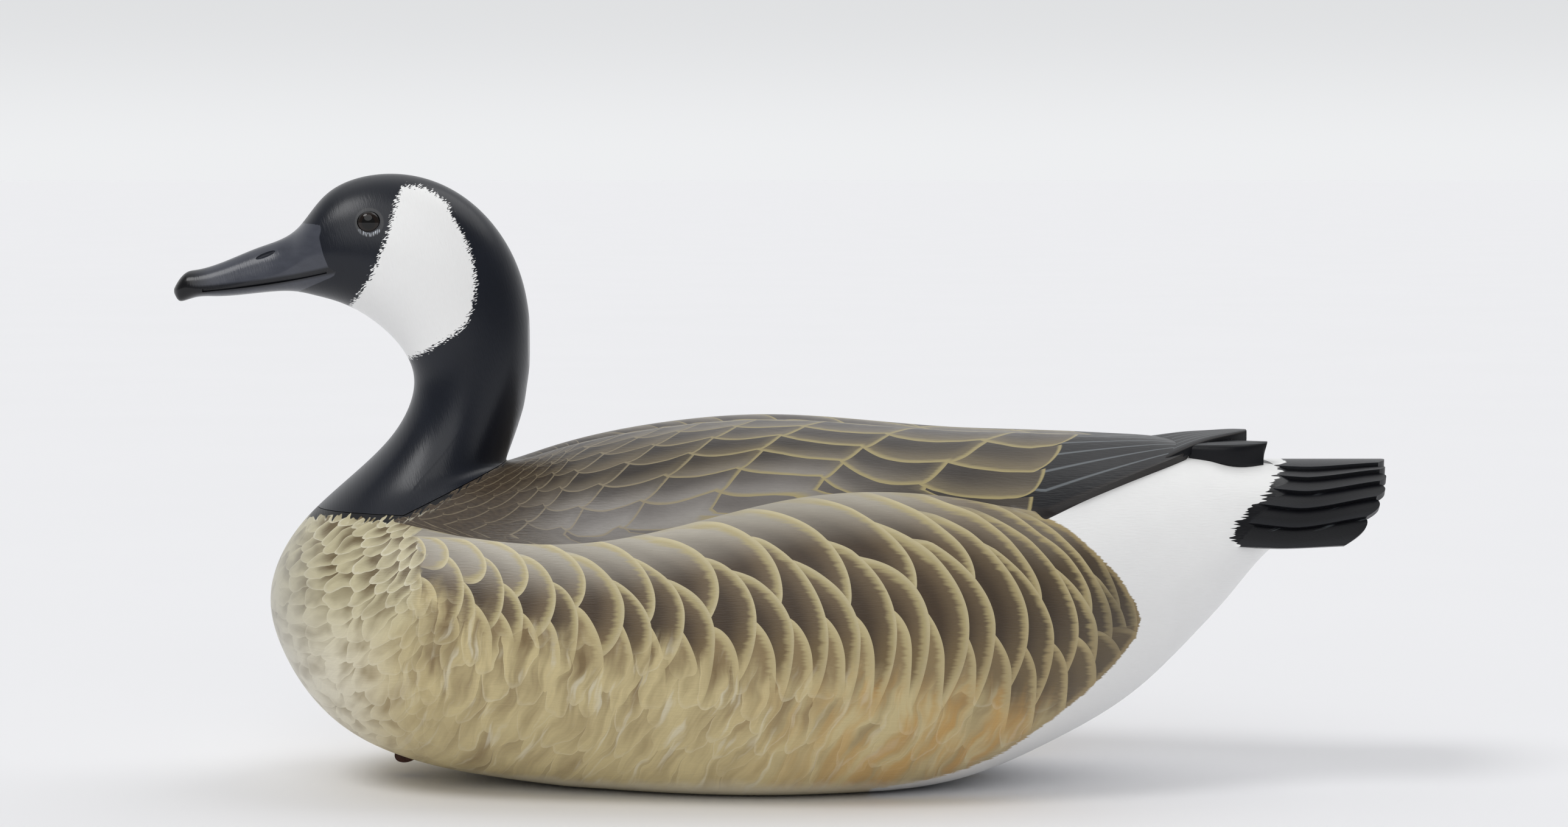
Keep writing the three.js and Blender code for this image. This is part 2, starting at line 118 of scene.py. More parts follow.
HOLLOW_DEPTH = 5.5
HOLLOW_WIDTH = 13
HOLLOW_FRONT = (-147, -128)
HOLLOW_MIDDLE = (-40, 110)
HOLLOW_REAR = (165, 200)
HOLLOW_REST = 0.25
CROOK_HEIGHT = (200, 212)

# Sections of the wing tips: x, then y and z of the outer and of the inner edge, and the thickness
LEFT_TIP = [
    (184, -49, 167, 8, 182.2, 6), (200, -40, 174.6, 14, 183.6, 6), (216, -28, 181, 20, 185, 7),
    (231, -13, 184.2, 21, 185.6, 7), (243, -3, 185.6, 17, 186.3, 7), (249.5, 4, 186, 11, 186.3, 6),
]
RIGHT_TIP = [
    (188, 46, 166, -8, 178.5, 9), (205, 36, 175, -22, 180.6, 9), (216, 26, 179.5, -27, 181.2, 11),
    (230, 13, 180.8, -30, 181.4, 13), (245, -1, 181.4, -27.5, 181.5, 14), (258, -12, 181.4, -18, 181.4, 14),
]
RIGHT_TIP_RAKE = 4
TIP_CORNERS = 64
TIP_SPACING = 1.5
TIP_ROUNDING = 0.4

TAIL_TOP = 170.8
TAIL_HALF_WIDTH = 62
TAIL_ARCH_HEIGHT = 50
TAIL_FEATHERS_PER_SIDE = 5
TAIL_MIDDLE_TURN = 18.5
TAIL_FEATHER_TURN = 12.4
TAIL_STEP = 2.2
TAIL_STEP_TURN = 0.5
TAIL_THICKNESS = 6
TAIL_THINNER = 0.5
TAIL_MIDDLE_TIP = 322.6
TAIL_TIP_SLOPE = 6
TAIL_TIP_FALL = 20
TAIL_MIDDLE_ROOT = 252
TAIL_SIDE_ROOT = 234
TAIL_ROOT_NARROWER = 3
TAIL_TIP_ROUND = 3.4
TAIL_ROOT_SWEEP = 4
TAIL_ROOT_SWEEP_RANGE = (0, 0.5)
TAIL_TIP_SWEEP = 11
TAIL_TIP_SWEEP_RANGE = (0.4, 1.2)
TAIL_MIDDLE_SWEEP_RANGE = (0, 0.3)
TAIL_SIDE_SWEEP = 0.2
TAIL_FACETS = 10
TAIL_STEPS = 44

MOUTH = [(-239, 271.6), (-252, 268.8), (-264, 266.6), (-285, 263.6), (-307, 261.2)]
MOUTH_HEIGHT = 1.6
MOUTH_DEPTH = 1.6
MOUTH_STEPS = 24
MOUTH_SLAB_HALF = 60
NOSTRIL = (-273.2, 280.2)
NOSTRIL_SIZE = (11.4, 2.8, 2.8)
NOSTRIL_TILT = 21

SEAT = [(-196, 146.5), (-147, 170.2), (-100, 255)]
SEAT_GAP = 0.3
FAR_SIDE = 1300
EYE_PLACE = (-216.5, 297.5)
EYE_DIAMETER = 12
EYE_THICKNESS = 7
EYE_STAND_OUT = 2.2
PUPIL_EDGE = (3.2, 3.8)
EYE_RIM_EDGE = (5.3, 5.7)
SEARCH_SPACING = 0.5
SEARCH_WAYS = (0.1, 1.9, 0.01)
SHARP_EDGE = 35
NEVER_SHARP = 180
FAR = 1e9


class Spline:
    """A natural cubic spline through rows of values at rising knots."""

    def __init__(self, knots, values):
        self.knots = np.asarray(knots, float)
        self.values = np.asarray(values, float)
        widths = np.diff(self.knots)
        slopes = np.diff(self.values, axis=0) / widths.reshape(-1, *[1] * (self.values.ndim - 1))
        count = len(self.knots)
        system = np.eye(count)
        turns = np.zeros_like(self.values)
        for i in range(1, count - 1):
            system[i, i - 1:i + 2] = widths[i - 1], 2 * (widths[i - 1] + widths[i]), widths[i]
            turns[i] = 6 * (slopes[i] - slopes[i - 1])
        self.bends = np.linalg.solve(system, turns)

    def __call__(self, at):
        at = np.asarray(at, float)
        i = np.clip(np.searchsorted(self.knots, at, side="left") - 1, 0, len(self.knots) - 2)
        width = self.knots[i + 1] - self.knots[i]
        t = (at - self.knots[i]) / width
        s = 1 - t
        if self.values.ndim > 1:
            t, s, width = t[..., None], s[..., None], width[..., None]
        bent = ((s ** 3 - s) * self.bends[i] + (t ** 3 - t) * self.bends[i + 1]) * width ** 2
        return s * self.values[i] + t * self.values[i + 1] + bent / 6


def smooth(start, end, x):
    t = np.clip((x - start) / (end - start), 0, 1)
    return t * t * (3 - 2 * t)


def between(x, table):
    return np.interp(x, *zip(*table))


def travelled(points):
    """How far along a line of points, or along each of many lines, every point lies."""
    strides = np.linalg.norm(np.diff(points, axis=0), axis=-1)
    return np.concatenate([np.zeros_like(strides[:1]), np.cumsum(strides, axis=0)])


def side_by_side(*parts):
    return np.stack(np.broadcast_arrays(*parts), -1)


def ring_knots():
    rings = np.array(RINGS, float)
    back = np.hypot(*np.diff(rings[:, 0:2], axis=0).T)
    keel = np.hypot(*np.diff(rings[:, 2:4], axis=0).T)
    return np.concatenate([[0], np.cumsum((back + keel) / 2)]), np.maximum(back, keel)


KNOTS, RING_STRIDES = ring_knots()
RING_CURVES = Spline(KNOTS, RINGS)
FRONT_EDGE = Spline(*zip(*[p for p in WING_EDGE if p[0] <= WING_EDGE_TURN]))
REAR_EDGE = Spline(*zip(*[p for p in WING_EDGE if p[0] >= WING_EDGE_TURN]))
MOUTH_LINE = Spline(*zip(*sorted(MOUTH)))


def knot_ahead(x):
    return KNOTS[next(i for i, ring in enumerate(RINGS) if ring[0] < x)]


def wing_edge_height(x):
    ahead = FRONT_EDGE(np.clip(x, WING_EDGE[0][0], WING_EDGE_TURN))
    return np.where(x < WING_EDGE_TURN, ahead, REAR_EDGE(np.maximum(x, WING_EDGE_TURN)))


def ring_point(at, way, slimmer=0.0):
    """A point of the right side's half ring: way is 0 at the back line, 1 where widest and 2 at the keel."""
    ring = np.moveaxis(RING_CURVES(at), -1, 0)
    back_x, back_z, keel_x, keel_z, full_width, widest, back_flat, keel_flat = ring
    half = full_width - slimmer
    upper_turn = np.clip(way, 0, 1) * math.pi / 2
    upper_out = back_flat * np.sin(upper_turn) ** BACK_CORNER + (half - back_flat) * np.sin(upper_turn)
    lower_turn = np.clip((way - 1) / (1 - FLAT_WAY), 0, 1) * math.pi / 2
    lower_out = keel_flat + (half - keel_flat) * np.cos(lower_turn)
    lower_out = lower_out * np.clip((2 - way) / FLAT_WAY, 0, 1)
    lower_down = widest + (1 - widest) * np.sin(lower_turn)
    down = np.where(way <= 1, widest * (1 - np.cos(upper_turn)), lower_down)
    out = np.where(way <= 1, upper_out, lower_out)
    lowest = np.maximum(keel_z, 0)
    return np.stack([back_x + (keel_x - back_x) * down, out, back_z + (lowest - back_z) * down], -1)


def wing_way(at):
    """How far round each ring the wing's lower edge crosses it."""
    low, high = [np.full(len(at), way) for way in WING_WAYS]
    for _ in range(WING_WAY_HALVINGS):
        middle = (low + high) / 2
        point = ring_point(at, middle)
        above = point[:, 2] > wing_edge_height(point[:, 0])
        low = np.where(above, middle, low)
        high = np.where(above, high, middle)
    return (low + high) / 2


def carving(points, above):
    """How far the step along the wing's lower edge moves the skin out."""
    x, z = points[..., 0], points[..., 2]
    reach = np.exp(-(((z - wing_edge_height(x)) / STEP_REACH) ** 2))
    starts = smooth(WING_EDGE[0][0], WING_EDGE[0][0] + STEP_FADE, x)
    ahead = starts * (1 - smooth(WING_EDGE_TURN - STEP_FADE, WING_EDGE_TURN, x))
    behind = smooth(*RUMP_FADE, x) * (1 - smooth(*RUMP_END, x))
    flank = FLANK_STEP * ahead * np.where(above, -STEP_SHARE, 1 - STEP_SHARE)
    rump = RUMP_STEP * behind * np.where(above, 1 - STEP_SHARE, -STEP_SHARE)
    return reach * (flank + rump)


def hollow(points):
    """Depth of the hollow between the wings along the middle of the back."""
    x, y, z = np.moveaxis(points, -1, 0)
    starts = smooth(*HOLLOW_FRONT, x) * (1 - smooth(*CROOK_HEIGHT, z))
    shallower = 1 - (1 - HOLLOW_REST) * smooth(*HOLLOW_MIDDLE, x)
    ends = 1 - smooth(*HOLLOW_REAR, x)
    return HOLLOW_DEPTH * starts * shallower * ends * np.exp(-((y / HOLLOW_WIDTH) ** 2))


def half_loops(ats, slimmer=0.0):
    """The right half of the bird's rings, from the back line to the keel line."""
    edge = wing_way(ats)[:, None]
    over = edge - CREASE_WIDTH / 2
    under = edge + CREASE_WIDTH / 2
    ways = np.concatenate([
        over * (np.arange(BACK_STEPS + 1) / BACK_STEPS) ** BACK_CROWDING,
        under + (1 - under) * np.arange(SIDE_STEPS + 1) / SIDE_STEPS,
        np.ones_like(edge) + np.arange(1, KEEL_STEPS + 1) / KEEL_STEPS,
    ], axis=1)
    above = np.arange(ways.shape[1]) <= BACK_STEPS
    points = ring_point(ats[:, None], ways, slimmer)
    middle = ring_point(ats, np.ones_like(ats))[:, None, 2]
    outward = side_by_side(np.zeros_like(ways), points[..., 1], np.maximum(points[..., 2] - middle, 0))
    outward /= np.maximum(np.linalg.norm(outward, axis=-1, keepdims=True), 1 / FAR)
    depth = np.where(above, hollow(points), 0)
    points = points + outward * carving(points, above)[..., None]
    points[..., 2] -= depth
    return points


def ring_places(first_knot, switch_knot):
    """Knots of the fine rings: wider apart on the body, closer on the head."""
    ats = []
    for i in range(len(RINGS) - 1):
        if KNOTS[i] < first_knot:
            continue
        spacing = BODY_SPACING if KNOTS[i] < switch_knot else HEAD_SPACING
        steps = max(1, round(RING_STRIDES[i] / spacing))
        ats.extend(np.linspace(KNOTS[i], KNOTS[i + 1], steps, endpoint=False))
    return np.array(ats + [KNOTS[-1]])


def mirrored(half):
    """Whole loops from right halves that start and end on the middle plane."""
    left = half[:, -2:0:-1] * np.array([1, -1, 1])
    return np.concatenate([half, left], axis=1)


def loft(loops, goes_out_and_back=False):
    """Points and faces of a closed skin through loops. Its ends are closed by a fan round their middle, or
    straight across where the loops go out along a line and back under it."""
    rows, count = loops.shape[:2]
    points = list(loops.reshape(-1, 3))
    faces = []
    for row in range(rows - 1):
        for i in range(count):
            a = row * count + i
            b = row * count + (i + 1) % count
            faces.append((a, b, b + count, a + count))
    for row in (0, rows - 1):
        first = row * count
        if not goes_out_and_back:
            points.append(loops[row].mean(axis=0))
        for i in range(count):
            corners = (first + i, first + (i + 1) % count)
            if row == 0:
                corners = corners[::-1]
            if not goes_out_and_back:
                faces.append((*corners, len(points) - 1))
            elif i + 1 not in (count // 2, count):
                faces.append((*corners, first + count - 2 - i))
    return np.array(points), faces


def in_scene(name, data):
    made = bpy.data.objects.new(name, data)
    bpy.context.scene.collection.objects.link(made)
    return made


def bare_object(name, points, faces):
    """A mesh object in metres from points in millimetres, its faces turned outward."""
    mesh = bpy.data.meshes.new(name)
    mesh.from_pydata((np.asarray(points) * MM).tolist(), [], faces)
    mesh.update()
    corners = np.array([mesh.vertices[i].co for face in mesh.polygons for i in face.vertices[:3]])
    a, b, c = corners.reshape(-1, 3, 3).transpose(1, 0, 2)
    if np.einsum("ij,ij->i", a, np.cross(b, c)).sum() < 0:
        mesh.flip_normals()
    return in_scene(name, mesh)


def side_prism(name, outline, half_width):
    """A prism over an outline in the XZ plane."""
    count = len(outline)
    points = [(x, side * half_width, z) for side in (-1, 1) for x, z in outline]
    faces = [tuple(range(count)), tuple(range(2 * count - 1, count - 1, -1))]
    faces += [(i, count + i, count + (i + 1) % count, (i + 1) % count) for i in range(count)]
    return bare_object(name, points, faces)


def combine(piece, tools, operation):
    """Adds, cuts or intersects a piece with tools, which are used up."""
    for tool in tools:
        change = piece.modifiers.new(tool.name, "BOOLEAN")
        change.operation = operation
        change.solver = "MANIFOLD"
        change.object = tool
    depsgraph = bpy.context.evaluated_depsgraph_get()
    made = bpy.data.meshes.new_from_object(piece.evaluated_get(depsgraph))
    piece.modifiers.clear()
    made.materials.clear()
    piece.data = made
    for tool in tools:
        bpy.data.objects.remove(tool)


def rounded_share(wave):
    return (1 + np.sign(wave) * np.abs(wave) ** TIP_ROUNDING) / 2


def wing_tip(name, rows, rake):
    """A slab with rounded edges, square at its end, which leans in by rake from top to bottom. Also gives its
    points, and where each lies: across from the outer edge, along, and below its upper face."""
    rows = np.array(rows, float)
    knots = travelled(rows[:, :3])
    curve = Spline(knots, rows)
    places = np.linspace(0, knots[-1], round(knots[-1] / TIP_SPACING))
    turn = (np.arange(TIP_CORNERS) + 0.5) / TIP_CORNERS * 2 * math.pi
    across = rounded_share(np.cos(turn))
    below = 1 - rounded_share(np.sin(turn))
    loops = []
    for place in places:
        x, outer_y, outer_z, inner_y, inner_z, thickness = curve(place)
        lean = rake * smooth(places[-3], places[-1], place)
        y = outer_y + (inner_y - outer_y) * across
        z = outer_z + (inner_z - outer_z) * across
        loops.append(side_by_side(x - lean * below, y, z - thickness * below))
    loops = np.array(loops)
    return bare_object(name, *loft(loops)), loops, side_by_side(across, loops[..., 0] / CM, below)


def tail_lines():
    """Lines along the tail from its middle to one side: turn round the arch in degrees, rise above the step's
    foot, place across the feather, 0 being its middle and 1 an edge, and the feather's number."""
    steps = np.arange(TAIL_FACETS + 1) / TAIL_FACETS
    lines = [(TAIL_MIDDLE_TURN * t, 1, t, 0) for t in steps]
    for feather in range(TAIL_FEATHERS_PER_SIDE):
        inner = TAIL_MIDDLE_TURN + feather * TAIL_FEATHER_TURN
        for t in steps:
            nudge = TAIL_STEP_TURN if t == 0 else 0
            lines.append((inner + nudge + TAIL_FEATHER_TURN * t, t, abs(2 * t - 1), feather + 1))
    return np.array(lines)


def tail(name):
    """The arch of tail feathers, its points, and each one's share across its feather and feather number."""
    right = tail_lines()
    left = right[:0:-1] * np.array([-1, 1, 1, 1])
    turns, rises, across, numbers = np.concatenate([left, right]).T
    side = np.abs(turns) / right[-1, 0]
    fallen = TAIL_TIP_SLOPE * side + TAIL_TIP_FALL * side ** 5 + TAIL_TIP_ROUND * across ** 2
    root = TAIL_MIDDLE_ROOT + (TAIL_SIDE_ROOT - TAIL_MIDDLE_ROOT) * side
    spread = smooth(*TAIL_MIDDLE_SWEEP_RANGE, side) * (1 - (1 - TAIL_SIDE_SWEEP) * side ** 8)
    loops = []
    for t in np.arange(TAIL_STEPS + 1) / TAIL_STEPS:
        sweep = TAIL_ROOT_SWEEP * (1 - smooth(*TAIL_ROOT_SWEEP_RANGE, t))
        sweep += TAIL_TIP_SWEEP * smooth(*TAIL_TIP_SWEEP_RANGE, t)
        turn = np.radians(turns - np.sign(turns) * sweep * spread)
        rows = []
        for depth in ((1 - rises) * TAIL_STEP, TAIL_STEP + TAIL_THICKNESS * (1 - TAIL_THINNER * t)):
            rows.append(side_by_side(
                root + (TAIL_MIDDLE_TIP - fallen - root) * t,
                (TAIL_HALF_WIDTH - TAIL_ROOT_NARROWER * (1 - t) - depth) * np.sin(turn),
                TAIL_TOP - TAIL_ARCH_HEIGHT + (TAIL_ARCH_HEIGHT - depth) * np.cos(turn),
            ))
        loops.append(np.concatenate([rows[0], rows[1][::-1]]))
    loops = np.array(loops)
    shares = np.where(numbers > 0, rises, across)
    fields = side_by_side(*[np.concatenate([part, part[::-1]]) for part in (shares, numbers)])
    return bare_object(name, *loft(loops, goes_out_and_back=True)), loops, fields + 0 * loops[..., :2]


def mouth_groove():
    """The mouth line: a thin slab along it, less the middle of the bill."""
    xs = np.linspace(MOUTH[-1][0], MOUTH[0][0], MOUTH_STEPS)
    zs = MOUTH_LINE(xs)
    outline = list(zip(xs, zs + MOUTH_HEIGHT / 2)) + list(zip(xs[::-1], zs[::-1] - MOUTH_HEIGHT / 2))
    slab = side_prism("mouth_slab", outline, MOUTH_SLAB_HALF)
    ats = ring_places(knot_ahead(HEAD_START), 0)
    core = bare_object("mouth_core", *loft(mirrored(half_loops(ats, MOUTH_DEPTH))))
    combine(slab, [core], "DIFFERENCE")
    return slab


def half_width_at(place):
    """The bird's half width at a place on its head as the side shows it."""
    ats = np.arange(knot_ahead(HEAD_START), KNOTS[-1], SEARCH_SPACING)
    ways = np.arange(*SEARCH_WAYS)
    points = ring_point(ats[:, None], ways[None, :]).reshape(-1, 3)
    nearest = np.hypot(points[:, 0] - place[0], points[:, 2] - place[1]).argmin()
    return points[nearest, 1]


EYE_Y = half_width_at(EYE_PLACE) + EYE_STAND_OUT - EYE_THICKNESS / 2


def ball(name, place, side_y, half_sizes, tilt=0.0, segments=48, rings=24):
    """A flattened ball with its poles to the sides. Its place is an x and a z, and side_y is its y."""
    points = []
    for i in range(1, rings):
        lean = math.pi * i / rings
        for k in range(segments):
            turn = 2 * math.pi * k / segments
            points.append((math.sin(lean) * math.cos(turn), math.cos(lean), math.sin(lean) * math.sin(turn)))
    points = np.array(points + [(0, 1, 0), (0, -1, 0)]) * np.array(half_sizes)
    top, bottom = len(points) - 2, len(points) - 1
    faces = []
    for i in range(rings - 2):
        for k in range(segments):
            a = i * segments + k
            b = i * segments + (k + 1) % segments
            faces.append((a, b, b + segments, a + segments))
    last = (rings - 2) * segments
    faces += [(top, (k + 1) % segments, k) for k in range(segments)]
    faces += [(bottom, last + k, last + (k + 1) % segments) for k in range(segments)]
    turned = points @ np.array(Matrix.Rotation(-math.radians(tilt), 3, "Y")).T
    return bare_object(name, turned + np.array([place[0], side_y, place[1]]), faces)


def smooth_shading(piece, sharp_angle):
    """Smooth shading that keeps edges sharp where faces meet at more than an angle."""
    mesh = piece.data
    mesh.polygons.foreach_set("use_smooth", [True] * len(mesh.polygons))
    mesh.set_sharp_from_angle(angle=math.radians(sharp_angle))


def store(piece, name, *parts):
    """Keeps up to three numbers for each vertex, for the materials to read."""
    values = np.zeros((len(piece.data.vertices), 3), np.float32)
    for i, part in enumerate(parts):
        values[:, i] = part
    attribute = piece.data.attributes.new(name, "FLOAT_VECTOR", "POINT")
    attribute.data.foreach_set("vector", values.ravel())


def fetched(rows, field):
    """Three numbers for each vertex, out of its place or of what is stored on it."""
    values = np.zeros(len(rows) * 3, np.float32)
    rows.foreach_get(field, values)
    return values.reshape(-1, 3).astype(float)


def vertices_of(piece):
    return fetched(piece.data.vertices, "co") / MM


def keep_inside(piece, low, high):
    """Brings vertices that stand out of a box by a hair back to it."""
    places = np.clip(vertices_of(piece) * MM, np.array(low), np.array(high))
    piece.data.vertices.foreach_set("co", places.astype(np.float32).ravel())
    piece.data.update()


def head_cuts():
    """What is cut out of the head: the mouth line, the nostrils and the sockets of the eyes."""
    cuts = [mouth_groove()]
    nostril_y = half_width_at(NOSTRIL)
    length, depth, height = NOSTRIL_SIZE
    reach = EYE_DIAMETER / 2 + SEAT_GAP
    socket_sizes = (reach, EYE_THICKNESS / 2 + SEAT_GAP, reach)
    for side in (-1, 1):
        nostril_sizes = (length / 2, depth, height / 2)
        cuts.append(ball(f"nostril{side}", NOSTRIL, side * nostril_y, nostril_sizes, NOSTRIL_TILT))
        cuts.append(ball(f"socket{side}", EYE_PLACE, side * EYE_Y, socket_sizes))
    return cuts


def carve_bird():
    """The body block and the head block, cut apart along the seat under the neck. Also gives the surveyed
    points of each form in them: its name, the points and their fields."""
    ats = ring_places(0, knot_ahead(NECK_START))
    half = half_loops(ats)
    body = bare_object("goose_body", *loft(mirrored(half)))
    right_tip, right_points, right_fields = wing_tip("right_tip", RIGHT_TIP, RIGHT_TIP_RAKE)
    left_tip, left_points, left_fields = wing_tip("left_tip", LEFT_TIP, 0)
    tail_piece, tail_points, tail_fields = tail("tail")
    combine(body, [right_tip, left_tip, tail_piece], "UNION")
    head = in_scene("goose_head", body.data.copy())
    outline = [(-FAR_SIDE, SEAT[0][1])] + SEAT + [(SEAT[2][0], FAR_SIDE), (-FAR_SIDE, FAR_SIDE)]
    lower = [(x + SEAT_GAP, z - SEAT_GAP) for x, z in outline]
    rooms = [side_prism("room_a", outline, FAR_SIDE), side_prism("room_b", lower, FAR_SIDE)]
    combine(body, rooms, "DIFFERENCE")
    combine(head, [side_prism("room_c", outline, FAR_SIDE)], "INTERSECT")
    combine(head, head_cuts(), "DIFFERENCE")
    tip_points = np.concatenate([right_points, left_points])
    forms = {
        "skin": (half, survey_skin(half)),
        "tip": (tip_points, {"tip": np.concatenate([right_fields, left_fields])}),
        "tail": (tail_points, {"tail": tail_fields}),
    }
    return body, head, forms


# Where the paint lies is measured in pixels of a picture of the left side, as this camera sees it
VIEW_X = 1.6
VIEW_AWAY = 2000.0
VIEW_Z = 330.0
VIEW_DOWN = 0.06728
FOCAL = 6160.0
FRAME_WIDTH = 2576
MIDDLE_X = 1283.0
MIDDLE_Y = 679.0
LEAST_DROP = 0.55
NEAR = 8
NEIGHBOURS = 3
HARDLY_AWAY = 1e-4

CHEEK = [
    (661, 306), (651, 330), (645, 353), (638, 378), (629.5, 402), (619, 430), (607, 455), (592, 479),
    (576, 500), (560, 516), (545, 530), (560, 560), (610, 590), (650, 592), (679, 587), (696, 580),
    (741, 554), (760, 540), (770, 527), (777, 505), (781, 482), (783, 462), (781, 442), (775, 418),
    (768, 397), (757, 375), (745.5, 357), (737, 335), (719, 317), (703, 309), (687.5, 304.5), (672, 303.5),
]
# The edges of the bill and of the white rump give x for a height, the neck's edge gives the height for an x
BILL_EDGE = [
    (330, 470), (366, 489), (369, 527), (378, 528), (390, 525), (405, 528), (420, 532), (440, 540),
    (447, 552), (454, 548), (466, 520), (480, 488), (492, 440), (520, 300),
]
NECK_EDGE = [
    (380, 842), (440, 842), (500, 845), (560, 850), (620, 855), (660, 850), (700, 835), (730, 818),
    (760, 800), (795, 777), (831, 758), (845, 740), (870, 600),
]
FLANK_EDGE = [
    (700, 800), (1000, 800), (1400, 740), (1640, 760), (1700, 830), (1722, 849), (1760, 870), (1800, 905),
    (1842, 947), (1868, 988), (1878, 1016), (1870, 1047), (1836, 1090), (1787, 1138), (1727, 1185),
    (1655, 1234), (1626, 1248), (1579, 1266), (1534, 1279), (1483, 1288), (1430, 1296), (1400, 1400),
    (300, 1400), (300, 700), (680, 860),
]
TAIL_WHITE = [
    (740, 2112), (756, 2109), (787, 2096), (817, 2081), (837, 2056), (859, 2037), (880, 2029), (892, 2033),
    (899, 2046),
]
EYE_SEEN = (607.5, 365)

# The wing feathers' ends: their x on a line a little up from the wing's lower edge, and their slant
WING_TIPS = [-235, -215, -200, -187, -176, -166, -155, -143, -127, -106, -73, -31, 26, 80, 147, 230]
WING_TIP_LIFT = 20
WING_TIP_SLANT = [
    (-200, 1.9), (-160, 1.5), (-130, 0.95), (-108, 0.65), (-73, 0.85), (26, 0.92), (80, 0.74), (147, 0.67),
    (230, 0.6),
]
SLANT_FADE = 5
WING_ROW = 14.7
WING_TOP_ROW = 95.0
WING_ROW_SCALE = [
    (-200, 1.5), (-160, 1.4), (-136, 1.27), (-120, 1.125), (-104, 1.04), (-89, 1.01), (-58, 0.99),
    (-11, 1.005), (21, 1.04), (51, 1.065), (75, 1.13), (131, 1.145), (145, 1.26), (161, 1.5), (230, 2.5),
]
WING_REAR_ROWS = [(-3, -0.3), (-1.2, 1), (0.25, 2), (1.85, 3), (3.8, 4), (5.9, 5), (7.5, 6)]
WING_REAR_RANGE = (-10, 78)
BREAST_LINE = 8


def seen_at(points):
    """Where points show in the side's picture. The right side is painted as its mirror image."""
    away = VIEW_AWAY - np.abs(points[..., 1])
    x = MIDDLE_X + FOCAL * points[..., 0] / away
    y = MIDDLE_Y + FOCAL * np.tan(np.arctan((VIEW_Z - points[..., 2]) / away) - VIEW_DOWN)
    return x, y


def distance_inside(x, y, outline):
    """Distance to an outline in pixels, positive inside it."""
    starts = np.array(outline, float)
    nearest = np.full(x.shape, FAR)
    inside = np.zeros(x.shape, bool)
    for (ax, ay), (bx, by) in zip(starts, np.roll(starts, -1, axis=0)):
        dx, dy = bx - ax, by - ay
        t = np.clip(((x - ax) * dx + (y - ay) * dy) / (dx * dx + dy * dy), 0, 1)
        nearest = np.minimum(nearest, np.hypot(x - ax - t * dx, y - ay - t * dy))
        crosses = (ay > y) != (by > y)
        inside ^= crosses & (x < ax + (y - ay) * dx / (dy if dy else 1 / FAR))
    return np.where(inside, nearest, -nearest)


def rolled_out(seen_y, from_back):
    """The seen height. Below the widest line it goes on by the way over the surface, so that the paint isn't
    drawn out there."""
    widest = BACK_STEPS + 1 + SIDE_STEPS
    drops = np.diff(seen_y, axis=1)
    least = LEAST_DROP * FOCAL / VIEW_AWAY * np.diff(from_back, axis=1)
    drops[:, widest:] = np.maximum(drops[:, widest:], least[:, widest:])
    return seen_y[:, :1] + np.concatenate([0 * seen_y[:, :1], np.cumsum(drops, axis=1)], axis=1)


def survey_skin(half):
    """For each point of the fine rings, the coordinates that its paint is laid out in."""
    from_back = travelled(half.swapaxes(0, 1)).T
    to_edge = from_back[:, BACK_STEPS:BACK_STEPS + 1]
    below_edge = from_back - to_edge
    x = half[..., 0]
    seen_x, seen_y = seen_at(half)
    risen = np.clip(-below_edge / SLANT_FADE, 0, 1)
    slanted = x + between(x, WING_TIP_SLANT) * (WING_TIP_LIFT + below_edge) * risen
    wing_u = np.interp(slanted, WING_TIPS, np.arange(len(WING_TIPS)))
    wing_v = (WING_TOP_ROW - from_back * between(x, WING_ROW_SCALE)) / WING_ROW
    wing_v += smooth(*WING_REAR_RANGE, x) * (between(wing_v, WING_REAR_ROWS) - wing_v)
    feather_width = np.interp(slanted, WING_TIPS[:-1], np.diff(WING_TIPS))
    along = travelled(half[:, BACK_STEPS + 1 + SIDE_STEPS + BREAST_LINE])[:, None]
    keel_run = travelled(half[:, -1])[:, None]
    from_keel = from_back[:, -1:] - from_back
    return {
        "seen": side_by_side(seen_x / SQUARE, rolled_out(seen_y, from_back) / SQUARE, below_edge / CM),
        "wing": side_by_side(wing_u, wing_v, feather_width / CM),
        "breast": side_by_side(along / CM, keel_run / CM, from_keel / CM),
        "down_wing": side_by_side(np.clip(-below_edge / to_edge, 0, 1)),
    }


def near_points(places, sought):
    """Which of the sought points lie near a form, and for each the form's nearest places and distances."""
    tree = KDTree(len(places))
    for i, place in enumerate(places):
        tree.insert(place, i)
    tree.balance()
    low, high = places.min(axis=0) - NEAR, places.max(axis=0) + NEAR
    close = np.nonzero(((sought > low) & (sought < high)).all(axis=1))[0]
    found = [tree.find_n(sought[i], NEIGHBOURS) for i in close]
    nearest = np.array([[i for _, i, _ in row] for row in found], int).reshape(-1, NEIGHBOURS)
    aways = np.array([[away for _, _, away in row] for row in found]).reshape(-1, NEIGHBOURS)
    return close, nearest, aways


